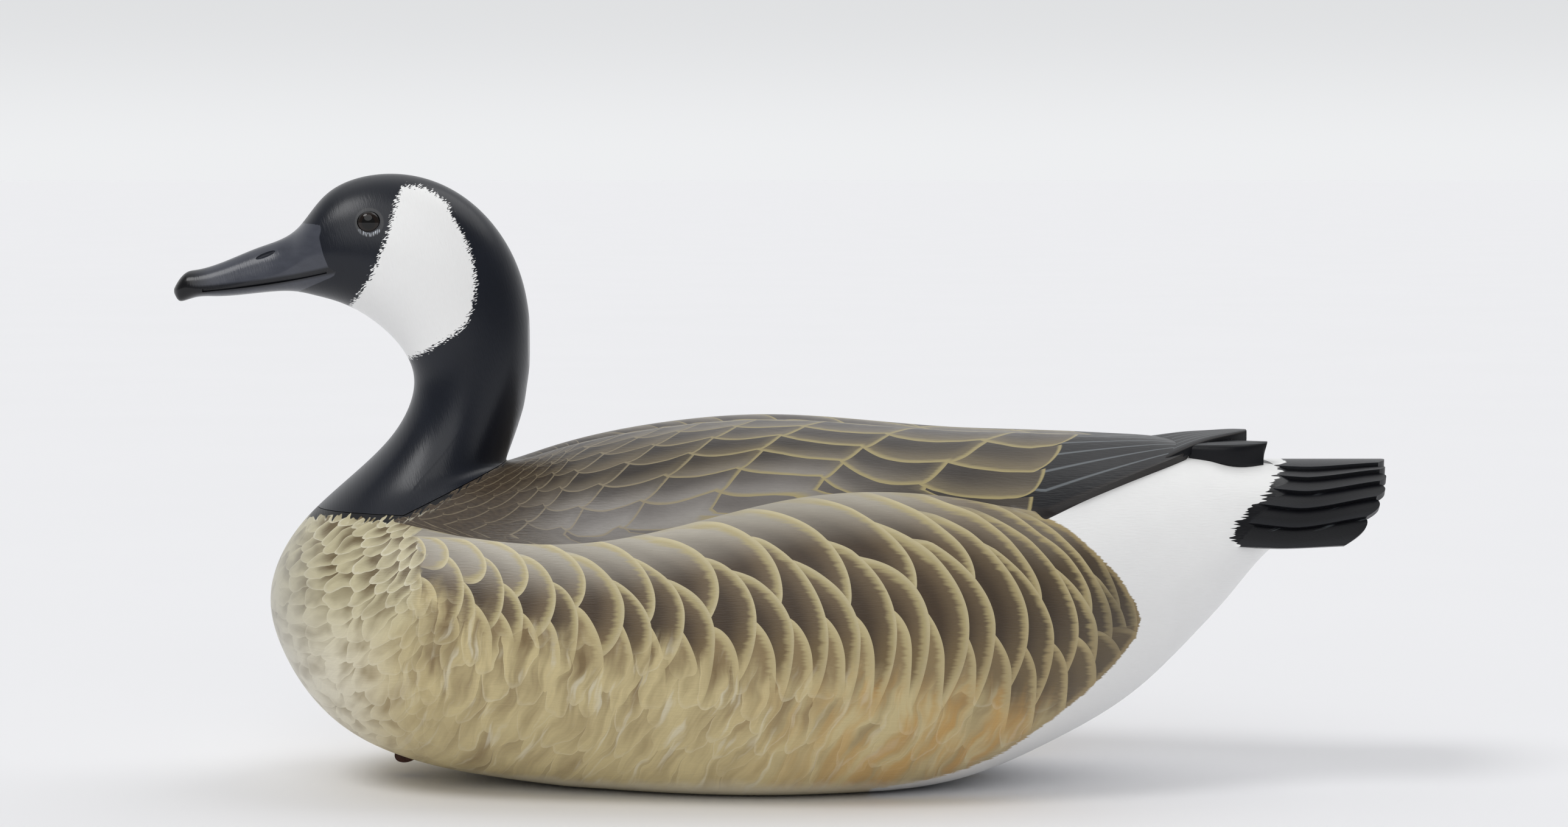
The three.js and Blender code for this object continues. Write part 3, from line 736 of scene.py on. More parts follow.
def carry_over(piece, forms):
    """Gives a piece's vertices the fields of the nearest surveyed points of each form, and tells which form
    each of its faces belongs to."""
    points = vertices_of(piece)
    folded = side_by_side(points[:, 0], np.abs(points[:, 1]), points[:, 2])
    misses = []
    for name, (surveyed, fields) in forms.items():
        close, nearest, aways = near_points(surveyed.reshape(-1, 3), folded if name == "skin" else points)
        weights = 1 / (aways + HARDLY_AWAY) ** 2
        weights /= weights.sum(axis=1, keepdims=True)
        for field, values in fields.items():
            rows = values.reshape(-1, values.shape[-1])[nearest]
            whole = np.zeros((len(points), values.shape[-1]))
            whole[close] = (rows * weights[..., None]).sum(axis=1)
            store(piece, field, *whole.T)
        miss = np.full(len(points), FAR)
        miss[close] = aways[:, 0]
        misses.append(miss)
    form = np.argmin(misses, axis=0)
    miss = np.min(misses, axis=0)
    corners = np.zeros(len(piece.data.loops), np.int32)
    piece.data.loops.foreach_get("vertex_index", corners)
    starts = np.zeros(len(piece.data.polygons), np.int32)
    piece.data.polygons.foreach_get("loop_start", starts)
    face = np.searchsorted(starts, np.arange(len(corners)), side="right")
    surest = corners[np.lexsort((miss[corners], face))][starts]
    return form[surest]


def math_method(name, turned=False):
    """A method for values that makes one math node, where asked with its two numbers the other way round."""
    def method(self, *others):
        return self.sheet.math(name, *((*others, self) if turned else (self, *others)))
    return method


class Value:
    """A socket's number or colour that can be worked with like a plain number."""
    __add__ = __radd__ = math_method("ADD")
    __sub__ = math_method("SUBTRACT")
    __rsub__ = math_method("SUBTRACT", turned=True)
    __mul__ = __rmul__ = math_method("MULTIPLY")
    __truediv__ = math_method("DIVIDE")
    __pow__ = math_method("POWER")
    floor = math_method("FLOOR")
    ceil = math_method("CEIL")
    sqrt = math_method("SQRT")
    abs = math_method("ABSOLUTE")
    least = math_method("MINIMUM")
    most = math_method("MAXIMUM")
    below = math_method("LESS_THAN")

    def __init__(self, sheet, socket):
        self.sheet = sheet
        self.socket = socket

    def step(self, start, end):
        """0 up to start and 1 from end on, with a smooth rise between."""
        node = self.sheet.node("ShaderNodeMapRange", self, start, end)
        node.interpolation_type = "SMOOTHSTEP"
        return Value(self.sheet, node.outputs["Result"])


class Sheet:
    """The nodes of a material or of the world."""

    def __init__(self, owner, shader="ShaderNodeBsdfPrincipled", output="ShaderNodeOutputMaterial"):
        owner.use_nodes = True
        self.owner = owner
        self.tree = owner.node_tree
        self.tree.nodes.clear()
        self.shader = self.node(shader)
        self.tree.links.new(self.shader.outputs[0], self.node(output).inputs["Surface"])

    def join(self, value, socket):
        if isinstance(value, Value):
            self.tree.links.new(value.socket, socket)
        else:
            socket.default_value = value

    def node(self, kind, *values):
        node = self.tree.nodes.new(kind)
        for value, socket in zip(values, node.inputs):
            self.join(value, socket)
        return node

    def math(self, operation, *values):
        node = self.node("ShaderNodeMath", *values)
        node.operation = operation
        return Value(self, node.outputs[0])

    def parts(self, socket):
        node = self.node("ShaderNodeSeparateXYZ", Value(self, socket))
        return [Value(self, part) for part in node.outputs]

    def field(self, name):
        """The numbers stored on the vertices under a name."""
        node = self.node("ShaderNodeAttribute")
        node.attribute_name = name
        return self.parts(node.outputs["Vector"])

    def place(self, kind="Object"):
        """Where a point lies on the object, in metres, or where it lies in the world's round."""
        return self.parts(self.node("ShaderNodeTexCoord").outputs[kind])

    def finish(self, colour, roughness, specular=0.5, height=None, depth=0.0):
        self.join(colour, self.shader.inputs["Base Color"])
        self.join(roughness, self.shader.inputs["Roughness"])
        self.shader.inputs["Specular IOR Level"].default_value = specular
        if height is not None:
            bump = self.node("ShaderNodeBump")
            bump.inputs["Distance"].default_value = depth
            self.join(height, bump.inputs["Height"])
            self.join(Value(self, bump.outputs["Normal"]), self.shader.inputs["Normal"])
        return self.owner


def painted(name):
    return Sheet(bpy.data.materials.new(name))


def noise(x, y, z=0.0, detail=2.0):
    """Smooth noise about 0, from -1 to 1, one bump to a unit."""
    place = Value(x.sheet, x.sheet.node("ShaderNodeCombineXYZ", x, y, z).outputs[0])
    node = x.sheet.node("ShaderNodeTexNoise", place)
    node.inputs["Scale"].default_value = 1
    node.inputs["Detail"].default_value = detail
    return (Value(x.sheet, node.outputs["Fac"]) - 0.5) * 2


def chance(x, y=0.0, z=0.0):
    """A chance number from 0 to 1 for each whole x, y and z."""
    place = Value(x.sheet, x.sheet.node("ShaderNodeCombineXYZ", x, y, z).outputs[0])
    return Value(x.sheet, x.sheet.node("ShaderNodeTexWhiteNoise", place).outputs["Value"])


def mix(share, first, second):
    """A mix of two colours."""
    node = share.sheet.node("ShaderNodeMix", share)
    node.data_type = "RGBA"
    share.sheet.join(first, node.inputs[6])
    share.sheet.join(second, node.inputs[7])
    return Value(share.sheet, node.outputs[2])


def blend(share, first, second):
    """A mix of two numbers."""
    return first + (second - first) * share


def dim(colour, light):
    """A colour made lighter or darker by a number."""
    node = light.sheet.node("ShaderNodeVectorMath")
    node.operation = "SCALE"
    light.sheet.join(colour if isinstance(colour, Value) else colour[:3], node.inputs[0])
    light.sheet.join(light, node.inputs["Scale"])
    return Value(light.sheet, node.outputs[0])


def tone(red, green, blue):
    """A colour from the 0 to 255 steps of a screen."""
    shares = [value / 255 for value in (red, green, blue)]
    return (*[v / 12.92 if v <= 0.04045 else ((v + 0.055) / 1.055) ** 2.4 for v in shares], 1)


BUFF = tone(178, 164, 120)
PALE_BUFF = tone(214, 203, 166)
BUFF_BROWN = tone(168, 148, 106)
VANE_DARK = tone(70, 56, 41)
VANE = tone(112, 95, 71)
VANE_REAR = tone(62, 56, 50)
# Painted sheen: the light grey laid over the tops of the flank feathers, where the lights reflect
VANE_SHEEN = tone(180, 174, 161)
OLIVE = tone(122, 102, 66)
TAN_DARK = tone(128, 108, 74)
STREAK_LIGHT = tone(206, 190, 143)
PALE_TIP = tone(226, 220, 198)
WING_DARK = tone(50, 43, 36)
WING_WARM = tone(108, 97, 78)
# Painted sheen on the wing feathers, a lighter and a darker grey
WING_SHEEN_LIGHT = tone(158, 154, 149)
WING_SHEEN_DARK = tone(112, 107, 103)
WING_FRONT = tone(86, 73, 58)
WING_FRONT_DARK = tone(50, 42, 35)
WING_LINE = tone(172, 158, 110)
WING_FRONT_LINE = tone(142, 130, 106)
WING_GLOW = tone(132, 119, 86)
CREAM = tone(226, 219, 197)
BREAST_LIGHT = tone(202, 193, 158)
BREAST_SHADE = tone(152, 138, 106)
# Painted sheen on the front edge of the breast
BREAST_SHEEN_WHITE = tone(184, 182, 173)
TAN = tone(160, 139, 100)
OLIVE_TAN = tone(112, 97, 68)
OCHRE = tone(197, 154, 86)
BELLY_WHITE = tone(230, 222, 200)
NEAR_WHITE = tone(244, 244, 243)
CHEEK_WHITE = tone(250, 250, 249)
NECK_BLACK = tone(15, 19, 28)
NECK_SHEEN = tone(25, 30, 42)
COLLAR_BLACK = tone(12, 13, 17)
TIP_BLACK = tone(16, 17, 21)
TIP_LINE = tone(112, 118, 122)
RIM_BROWN = tone(52, 46, 42)
TAIL_BLACK = tone(14, 15, 19)
# Painted highlight on the black tail feathers
TAIL_HIGHLIGHT = tone(42, 44, 49)
BILL_SLATE = tone(78, 81, 90)
BILL_SHADE = tone(58, 60, 68)
BILL_DARK = tone(12, 12, 15)
EYE_RING = tone(112, 112, 110)
LASH_WHITE = tone(206, 212, 220)
IRIS = tone(27, 18, 13)
PUPIL = tone(8, 7, 7)
EYE_RIM = tone(14, 11, 10)
LEATHER_DARK = tone(52, 26, 20)
LEATHER_LIGHT = tone(92, 50, 38)
FLOOR_WHITE = tone(243, 243, 245)
WALL_WHITE = (0.975, 0.985, 1.0, 1)

# Rows of flank feathers in pixels of the side's picture: the rightmost points of their ends, then how high
# those lie, how far the ends curve back, how far they reach up and down, and the first one's order with the
# step to the next
FLANK_ROWS = [
    {
        "tips": [600, 640, 668, 697, 735, 797, 866, 961, 1076, 1181, 1286, 1400, 1508, 1604, 1715, 1799, 1845,
                 1873, 1920],
        "height": [(640, 898), (697, 905), (735, 910), (797, 930), (866, 945), (961, 960), (1076, 990),
                   (1181, 970), (1286, 975), (1400, 980), (1508, 958), (1604, 950), (1715, 985),
                   (1799, 1000), (1873, 1015)],
        "bow": [(640, 14), (697, 26), (735, 42), (797, 75), (866, 105), (961, 135), (1076, 180), (1181, 210),
                (1286, 255), (1400, 270), (1604, 290), (1715, 330), (1799, 300), (1873, 260)],
        "up": [(640, 20), (697, 24), (735, 28), (797, 45), (866, 60), (961, 76), (1076, 118), (1181, 130),
               (1286, 160), (1400, 180), (1508, 156), (1604, 140), (1715, 150), (1799, 172), (1873, 195)],
        "down": [(640, 20), (735, 34), (797, 54), (866, 70), (961, 90), (1076, 110), (1181, 120),
                 (1400, 130), (1604, 140), (1799, 190), (1873, 220)],
        "order": (0, 1),
    },
    {
        "tips": [620, 690, 760, 826, 911, 1025, 1124, 1243, 1362, 1475, 1595, 1693, 1776, 1832, 1872, 1920],
        "height": [(690, 960), (826, 972), (911, 980), (1025, 1003), (1124, 1012), (1243, 1020), (1362, 1052),
                   (1475, 1040), (1595, 1033), (1693, 1030), (1776, 1035), (1872, 1030)],
        "bow": [(690, 30), (826, 60), (911, 100), (1025, 150), (1124, 200), (1243, 250), (1362, 280),
                (1475, 290), (1693, 290), (1776, 270), (1872, 220)],
        "up": [(690, 50), (826, 62), (911, 76), (1025, 96), (1124, 113), (1200, 142), (1260, 170),
               (1320, 190), (1400, 213), (1595, 206), (1693, 200), (1776, 190), (1872, 170)],
        "down": [(690, 60), (826, 80), (911, 94), (1025, 135), (1124, 165), (1243, 225), (1362, 260),
                 (1595, 240), (1776, 200), (1872, 140)],
        "order": (2.5, 1),
    },
    {
        "tips": [640, 715, 778, 857, 948, 1070, 1174, 1305, 1415, 1530, 1638, 1735, 1808, 1855, 1920],
        "height": [(715, 985), (778, 998), (857, 1012), (948, 1022), (1070, 1040), (1174, 1046), (1305, 1050),
                   (1415, 1052), (1530, 1035), (1638, 1032), (1735, 1050), (1855, 1045)],
        "bow": [(715, 36), (778, 45), (857, 62), (948, 92), (1070, 125), (1174, 200), (1305, 220),
                (1415, 230), (1638, 230), (1735, 180), (1855, 150)],
        "up": [(715, 40), (778, 48), (857, 57), (948, 80), (1070, 92), (1174, 126), (1305, 146), (1415, 160),
               (1530, 170), (1638, 156), (1735, 140), (1855, 120)],
        "down": [(715, 70), (857, 110), (948, 150), (1070, 190), (1174, 240), (1415, 260), (1638, 240),
                 (1855, 160)],
        "order": (2.8, 1),
    },
    {
        "tips": [660, 752, 806, 842, 884, 917, 990, 1040, 1092, 1150, 1214, 1275, 1336, 1390, 1438, 1500,
                 1554, 1606, 1665, 1706, 1758, 1805, 1850, 1900],
        "height": [(752, 1035), (842, 1062), (917, 1075), (990, 1088), (1092, 1112), (1150, 1135),
                   (1214, 1105), (1275, 1098), (1438, 1090), (1500, 1070), (1606, 1098), (1706, 1118),
                   (1850, 1100)],
        "bow": [(752, 40), (842, 50), (990, 90), (1150, 75), (1438, 70), (1606, 65), (1850, 60)],
        "up": [(752, 52), (842, 62), (990, 110), (1150, 110), (1275, 92), (1438, 98), (1606, 76), (1850, 72)],
        "down": [(752, 120), (990, 170), (1275, 190), (1606, 180), (1850, 120)],
        "order": (4.2, 0.5),
    },
]
PALE_ROW = 3
FLANK_FOOT = [
    (600, 880), (640, 895), (700, 945), (735, 985), (770, 995), (800, 1015), (860, 1035), (1000, 1062),
    (1200, 1080), (1320, 1115), (1400, 1100), (1600, 1120), (1750, 1155), (1870, 1140), (2000, 1100),
]
NO_FEATHER = 100

# Where the paint changes along and up the side, in hundreds of pixels of its picture
FLANK_START = 6.84
FLANK_FRONT = (7.5, 10.5)
FLANK_SHEEN_END = (14.0, 16.5)
FLANK_PALE_END = (15.0, 17.2)
FLANK_REAR = (15.0, 17.6)
FLANK_POINT = (17.4, 18.3)
FLANK_BANDS_END = (17.8, 18.4)
FLANK_LOW = (10.1, 10.9)
STREAKS_TOP = 10.4
STREAKS_HIGH = (10.7, 12.0)
OCHRE_REAR = (11.5, 15.5)
OCHRE_LOW = (10.2, 11.4)
BREAST_SHINE = (4.4, 5.5)
BREAST_CREAM_END = (5.3, 6.9)
BREAST_SHADE_END = (5.2, 6.9)
BREAST_LOW = (9.4, 11.4)
BREAST_CRISP_END = (8.9, 10.7)
BREAST_SIDE = (6.5, 8.0)
BREAST_SPREAD = (9.3, 10.8)
BELLY = (12.78, 13.05)
BELLY_START = (6.5, 9.0)
BELLY_END = (16.0, 17.0)
RUMP_FRINGE = (15.0, 16.5)
WING_LINE_START = (6.9, 7.3)
WING_LINE_END = (15.5, 17.0)
WING_LAST_LINE = (15.8, 16.4)
WING_RIM = (17.0, 17.2)
WING_NECK_END = (7.9, 9.8)
WING_REAR = (9.5, 13.5)
WING_SHEEN_END = (12.5, 15.5)
WING_TOP_END = (6.9, 7.4)
WING_PAINT_END = 16.65
COLLAR_HAIRS_END = (6.6, 7.6)
BILL_NAIL = (3.05, 3.55)
# Ways over the surface from the wing's lower edge and from the keel, in centimetres
FLANK_SHEEN = (0.8, 3.8)
WING_SHEEN = (1.0, 4.2)
WING_LINE_UNDER = (0.12, 0.34)
KEEL_FEATHERS = (2.0, 4.5)
# Ways in strips of the side's picture: heights at the tail, from the middle of the eye, and below it
TAIL_FOOT = (89.2, 89.6)
EYELID_INNER = (1.75, 1.95)
EYELID_OUTER = (2.25, 2.5)
LASHES_INNER = (1.7, 1.8)
LASHES_OUTER = (2.1, 2.5)
LASHES_TOP = (1.0, 1.4)
# Ways below the mouth line, in millimetres
LIP_ABOVE = (-3.4, -1.6)
LIP_BELOW = (0.5, 2.6)


def uppermost(best, here):
    """Of two feathers over a point, each a list that starts with its order, the one that lies on top."""
    under = here[0].below(best[0])
    return [best[0].least(here[0])] + [blend(under, old, new) for old, new in zip(best[1:], here[1:])]


def shingle(sheet, row):
    """One row of overlapping feathers that point to the rear: the order of the feather over a point, how far
    inside its end the point is, how far up or down the feather it is, its number and whether it is pale."""
    u, side, bow = sheet.field(f"flank_row_{row}")
    spacing, steepness, _ = sheet.field(f"flank_size_{row}")
    round_off = (1 - side * side).most(0.0).sqrt()
    along = u + bow * (1 - round_off)
    number = along.ceil()
    first, step = FLANK_ROWS[row]["order"]
    lean = steepness * side / round_off.most(0.12)
    away = (number - along) * spacing * SQUARE / (lean * lean + 1).sqrt()
    order = blend(side.abs().below(1), NO_FEATHER, number * step + first)
    return [order, away, side, number, 1.0 if row == PALE_ROW else 0.0]


def flank_paint(sheet, x, y, foot, below):
    """The brown shingled feathers of the flank with buff ends, which fade into cream streaks low down."""
    ruffle = noise(x * 1.6, y * 19, 1.0)
    fine = noise(x * 4.0, y * 60, 7.0, detail=1)
    cloud = noise(x * 1.3, y * 0.9, 31.0)
    tongues = noise(x * 2.3 + y * 0.7, y * 0.7, 33.0)
    best = shingle(sheet, 0)
    for row in (1, 2, 3):
        best = uppermost(best, shingle(sheet, row))
    order, away, side, number, pale = best
    pale = pale * (1 - 0.75 * x.step(*FLANK_PALE_END))
    away = away + order.step(NO_FEATHER - 2, NO_FEATHER - 1) * NO_FEATHER
    luck = chance(number, order)
    faded = (-1 * foot + 1.5 * cloud + 1.0 * ruffle + 7 * tongues).step(-2.5, 4.0)
    left = 1 - (-1 * foot + 1.5 * cloud + 5 * tongues).step(1.0, 8.0)
    # high is a painted sheen: just under the wing's edge the vanes are washed light grey and the buff ends
    # paler
    high = (1 - below.step(*FLANK_SHEEN)) * (1 - 0.75 * x.step(*FLANK_SHEEN_END))
    rear = x.step(*FLANK_REAR)
    front = 1 - x.step(*FLANK_FRONT)
    low = y.step(*FLANK_LOW)
    width = 11.5 - 1.0 * high - 2.5 * rear - 2.5 * front + 3 * cloud + 4 * (luck - 0.5)
    fuzz = 9.0 * ruffle
    whole = (0.2 + 0.8 * side.step(-1.0, -0.85)) * (1 - 0.7 * side.step(0.6, 0.95))
    band = (1 - (away + fuzz).step(width - 5, width + 7)) * whole * (1 - 0.6 * x.step(*FLANK_BANDS_END))
    lit = 1 - (away + 0.3 * fuzz).step(0.5, width * 0.75)
    deep = (away + 0.5 * fuzz).step(width, 50.0)
    vane = mix(deep, VANE, VANE_DARK)
    vane = mix(low * (1 - deep) * 0.75, vane, OLIVE)
    vane = mix(rear * 0.4 + 0.3 * x.step(*FLANK_POINT), vane, VANE_REAR)
    vane = mix(high * (1 - 0.3 * deep), vane, VANE_SHEEN)
    vane = dim(vane, 1 + 0.08 * fine + 0.09 * ruffle + 0.14 * (luck - 0.5))
    vane = mix(pale * 0.6, vane, TAN)
    buff = mix(lit * 0.6 + high * 0.3, BUFF, PALE_BUFF)
    buff = mix(low * 0.4 + rear * 0.35, buff, BUFF_BROWN)
    buff = dim(buff, 1 + 0.12 * ruffle + 0.05 * fine)
    buff = mix(pale * 0.4, buff, STREAK_LIGHT)
    fading = mix(deep * 0.5 * left, streaks_paint(x, y), TAN_DARK)
    fading = mix(band * 0.6 * left, fading, STREAK_LIGHT)
    return mix(faded, mix(band, vane, buff), fading)


def streaks_paint(x, y):
    """The long soft cream and tan feathers low on the flank, which hang down and lean forward."""
    fall = y - STREAKS_TOP
    wander = noise(x * 0.9, y * 0.9, 41.0)
    across = x + fall * (0.22 + 0.1 * fall) + 0.3 * wander + 0.12 * noise(x * 2.2, y * 1.6, 45.0)
    order, depth, slope, column = scallops(across / 0.27, y / 0.85 + 0.5 * wander, 0.8)
    luck = chance(column, order * 2, 3.0)
    narrow = noise(across * 7.0, y * 1.3, 47.0)
    high = 1 - y.step(*STREAKS_HIGH)
    inner = (depth + 0.12 * narrow).step(0.03, 0.75)
    turned = slope.least(1).most(-1)
    flames = noise(across * 3.4, y * 0.9, 71.0).step(-0.25, 0.3)
    share = inner * (0.15 + 0.7 * luck) * (1 - 0.5 * turned) + 0.7 * flames - 0.15 + 0.4 * narrow
    share = (share * (0.6 + 0.4 * high)).most(0).least(1)
    colour = mix(share, STREAK_LIGHT, mix(0.4 + 0.6 * high, TAN, TAN_DARK))
    rear = x.step(*OCHRE_REAR) * y.step(*OCHRE_LOW)
    ochre = noise(across * 4.2, y * 0.9, 67.0).step(-0.25, 0.3)
    colour = mix(rear * ochre * 0.8, colour, OCHRE)
    bright = noise(across * 5.5, y * 1.1, 73.0).step(0.12, 0.4) * (1 - 0.6 * rear)
    edge = (1 - (depth + 0.1 * narrow).step(0.02, 0.1)) * luck
    colour = mix((bright * 0.55).most(edge * 0.25), colour, PALE_TIP)
    hair = noise(across * 28, y * 2.2, 53.0, detail=1)
    comb = noise(x * 3.0, y * 38, 59.0, detail=1)
    return dim(colour, 1 + 0.07 * hair + 0.05 * comb)


def scallops(across, along, bow):
    """Feathers in staggered columns that point along: the order of the one over a point, how far inside its
    end the point is, the end's slope there and the feather's column."""
    columns = []
    for parity in (0, 1):
        shifted = across - parity
        middle = 2 * (shifted / 2 + 0.5).floor()
        side = (shifted - middle).abs()
        round_off = (1 - side * side).most(0.0).sqrt()
        stagger = 0.5 * parity + 0.55 * chance(middle + parity)
        placed = along + bow * (1 - round_off) - stagger
        end = placed.ceil()
        slope = bow * side / round_off.most(0.25)
        columns.append([end + stagger, end - placed, slope, middle + parity])
    return uppermost(*columns)


def breast_paint(sheet, x, y, below):
    """The soft cream and tan feathers of the breast, which fan out from the foot of the neck."""
    along_body, keel_run, from_keel = sheet.field("breast")
    waver = noise(x * 1.5, y * 1.5, 5.0) + 0.15 * noise(x * 4, y * 4, 6.0)
    drift = noise(x * 1.3, y * 1.3, 9.0) + 0.15 * noise(x * 3.5, y * 3.5, 10.0)
    across = along_body / 0.7 + 0.9 * waver
    length = (below + 0.6).most(0.05) ** 0.85 / 1.15 + 0.5 * drift
    order, side_depth, _, column = scallops(across, length, 1.1)
    front_length = -1 * keel_run / 1.6 + 0.5 * drift
    front_depth = scallops(from_keel / 0.85 + 0.6 * waver, front_length, 0.9)[1]
    ahead = (1 - from_keel.step(*KEEL_FEATHERS)) * (1 - x.step(*BREAST_SIDE))
    luck = chance(order * 2, column)
    crisp = 1 - (y - 0.35 * (x - 6)).step(*BREAST_CRISP_END)
    comb = noise(across * 9, length * 1.2, 2.0)
    soft = noise(across * 0.7, length * 0.9, 4.0)
    depth = blend(ahead, side_depth, front_depth) + (0.05 + 0.09 * crisp) * comb
    shade = depth.step(0.06, 0.95) * (0.35 + 0.6 * luck + 0.3 * crisp) * (0.65 + 0.35 * crisp)
    patch = (1.1 - 0.5 * crisp) * soft + 0.05
    low = y.step(*BREAST_LOW)
    dark = mix(low, OLIVE_TAN, mix(x.step(*BREAST_SHADE_END), BREAST_SHADE, TAN))
    light = mix(low, BREAST_LIGHT, mix(x.step(*BREAST_CREAM_END), CREAM, STREAK_LIGHT))
    colour = mix((shade + patch).most(0).least(1), light, dark)
    rim = (1 - depth.step(0.0, 0.13)) * (0.25 + 0.7 * crisp * luck)
    colour = dim(mix(rim, colour, PALE_TIP), 1 + 0.08 * comb)
    # Painted sheen: the breast's front edge is washed pale grey, where the light from the left falls
    return mix((1 - x.step(*BREAST_SHINE)) * 0.55, colour, BREAST_SHEEN_WHITE)


def wing_rows(sheet, x, y):
    """The rows of wing feathers: the row over a point, how high in it the point is, its place along the row
    and the feathers' width there."""
    u, v, width = sheet.field("wing")
    middle = 2 * (u.ceil() - u) - 1
    v = v + 0.1 * noise(x * 1.1, y * 1.1, 11.0) + 0.3 * (1 - middle * middle)
    row = v.floor()
    return row, v - row, u, width


def wing_paint(rows, x, y, below):
    """The grey-brown feathers of the back and wings with thin buff edges."""
    row, rise, u, width = rows
    bulge = (1.7 * rise.most(0.0).sqrt() - 1.25 * rise) / width
    placed = u - bulge + 0.05 * noise(x, y, 13.0) + 0.05 * (chance(row, 3.0) - 0.5)
    end = placed.ceil()
    depth = end - placed
    away_end = depth * width * 0.75
    away_low = rise * 1.45
    luck = chance(row, end)
    hair = noise(x * 3.0, y * 45, 15.0, detail=1)
    streak = noise(x * 6 + y * 9, y * 22 - x * 10, 16.0, detail=1)
    near_neck = 1 - x.step(*WING_NECK_END)
    rear = x.step(*WING_REAR)
    line_width = blend(rear, 0.07, 0.14) * (1 + 0.35 * hair + 0.4 * (luck - 0.5))
    ends_line = 1 - away_end.step(line_width * 0.5, line_width * 2.0)
    low_line = 1 - away_low.step(line_width * 0.4, line_width * 1.9)
    line = ends_line.most(low_line * (1 - near_neck * 0.85))
    dark = 0.1 + 0.65 * rise.step(0.05, 0.9) + 0.35 * depth.step(0.4, 1.0) + 0.35 * (luck - 0.5)
    dark = dark.most(0).least(1)
    glow = (1 - away_low.step(0.1, 0.8)).most(1 - away_end.step(0.1, 0.9))
    # grey is a painted sheen: near the wing's lower edge, most towards the front, and on the top of the back
    # the feathers are washed grey
    grey = (1 - (below * -1).step(*WING_SHEEN)) * (0.95 - 0.85 * x.step(*WING_SHEEN_END))
    grey = (grey + 0.45 * (1 - y.step(*WING_TOP_END))).least(0.9)
    vane = mix(dark, WING_WARM, WING_DARK)
    vane = mix(glow * rear * 0.5, vane, WING_GLOW)
    vane = mix(grey * (1 - near_neck), vane, mix(dark, WING_SHEEN_LIGHT, WING_SHEEN_DARK))
    vane = mix(near_neck, vane, mix(streak * 0.6 + 0.45, WING_FRONT, WING_FRONT_DARK))
    vane = dim(vane, 1 + 0.08 * hair + 0.05 * streak)
    edge = mix(rear, WING_FRONT_LINE, WING_LINE)
    return mix(line * blend(near_neck, 0.85, 0.6), vane, edge)


def quill_lines(across):
    """Six thin pale lines that run together towards a wing's tip."""
    place = across * 6.6
    away = (place - (place + 0.5).floor()).abs()
    kept = place.step(0.5, 0.7) * (1 - place.step(6.2, 6.5))
    return (1 - away.step(0.03, 0.1)) * kept


def primaries_paint(across, x):
    colour = mix(quill_lines(across) * 0.75, TIP_BLACK, TIP_LINE)
    rim = 1 - across.step(0.01, 0.045)
    return dim(mix(rim * 0.45, colour, RIM_BROWN), 1 + 0.1 * noise(x * 2, across * 60, 21.0))


def whole_wing_paint(sheet, x, y, below, comb):
    """The wing's feathers, whose last ones end in round tips over the black primaries."""
    rows = wing_rows(sheet, x, y)
    row, rise = rows[:2]
    turned = 1 - rise
    end = WING_PAINT_END + 0.27 * row.most(2.0) - 0.2 * row.below(2)
    past = x - end + 0.5 * (1 - (1 - turned * turned).most(0.0).sqrt()) + 0.01 * comb
    tip_line = past.step(-0.09, -0.03) * x.step(*WING_LAST_LINE)
    colour = mix(tip_line * 0.85, wing_paint(rows, x, y, below), WING_LINE)
    return mix(past.step(-0.015, 0.015), colour, primaries_paint(sheet.field("down_wing")[0], x))


def rump_edge(sheet):
    """How far inside the white rump a point is, with the spikes of its edge, and where it is seen."""
    white, y, x = sheet.field("tail_white")
    return white + 2.2 * noise(y * 2.4, x * 0.22, 5.0, detail=1), x, y


def sides_paint(sheet, x, y, below, comb):
    """Breast, flanks, belly, white rump and the black under the tail."""
    _, flank, foot = sheet.field("borders")
    soft = noise(x * 3, y * 3, 17.0)
    jag = noise(x * 4, y * 30, 18.0, detail=1)
    spread = blend(y.step(*BREAST_SPREAD), 0.05, 0.9)
    begins = ((x - FLANK_START + 0.05 * comb + 0.35 * soft) / spread).step(-1.0, 1.0)
    colour = mix(begins, breast_paint(sheet, x, y, below), flank_paint(sheet, x, y, foot, below))
    line = (1 - below.step(*WING_LINE_UNDER)) * x.step(*WING_LINE_START) * (1 - x.step(*WING_LINE_END))
    colour = mix(line * 0.8, colour, PALE_BUFF)
    fringe = (1 - (flank + 0.3 * jag).step(0.3, 1.0)) * x.step(*RUMP_FRINGE)
    colour = mix(fringe * 0.6, colour, BUFF_BROWN)
    bottom = (y + 0.12 * soft).step(*BELLY) * (1 - x.step(*BELLY_END)) * x.step(*BELLY_START)
    colour = mix(bottom * 0.75, colour, BELLY_WHITE)
    white = dim(NEAR_WHITE, 1 + 0.02 * soft)
    colour = mix((flank + 0.35 * jag + 0.1 * comb).step(-0.15, 0.15), white, colour)
    edge, _, tail_y = rump_edge(sheet)
    black = (-1 * edge).step(-0.12, 0.12) * (1 - tail_y.step(*TAIL_FOOT))
    return mix(black, colour, TAIL_BLACK)


def collar_paint(colour, neck, x, y, comb):
    """The black foot of the neck, with the pale hairs of the breast over it."""
    lash = noise(x * 22 + y * 20, y * 5 - x * 4, 29.0, detail=0)
    black = (neck + 1.7 * lash + 0.35 * comb).step(-0.12, 0.12)
    hairs = (1 - (neck - 0.1).abs().step(0.5, 1.3)) * lash.step(0.05, 0.3) * (1 - x.step(*COLLAR_HAIRS_END))
    return mix(hairs * 0.8 * (1 - black), mix(black, colour, COLLAR_BLACK), PALE_TIP)


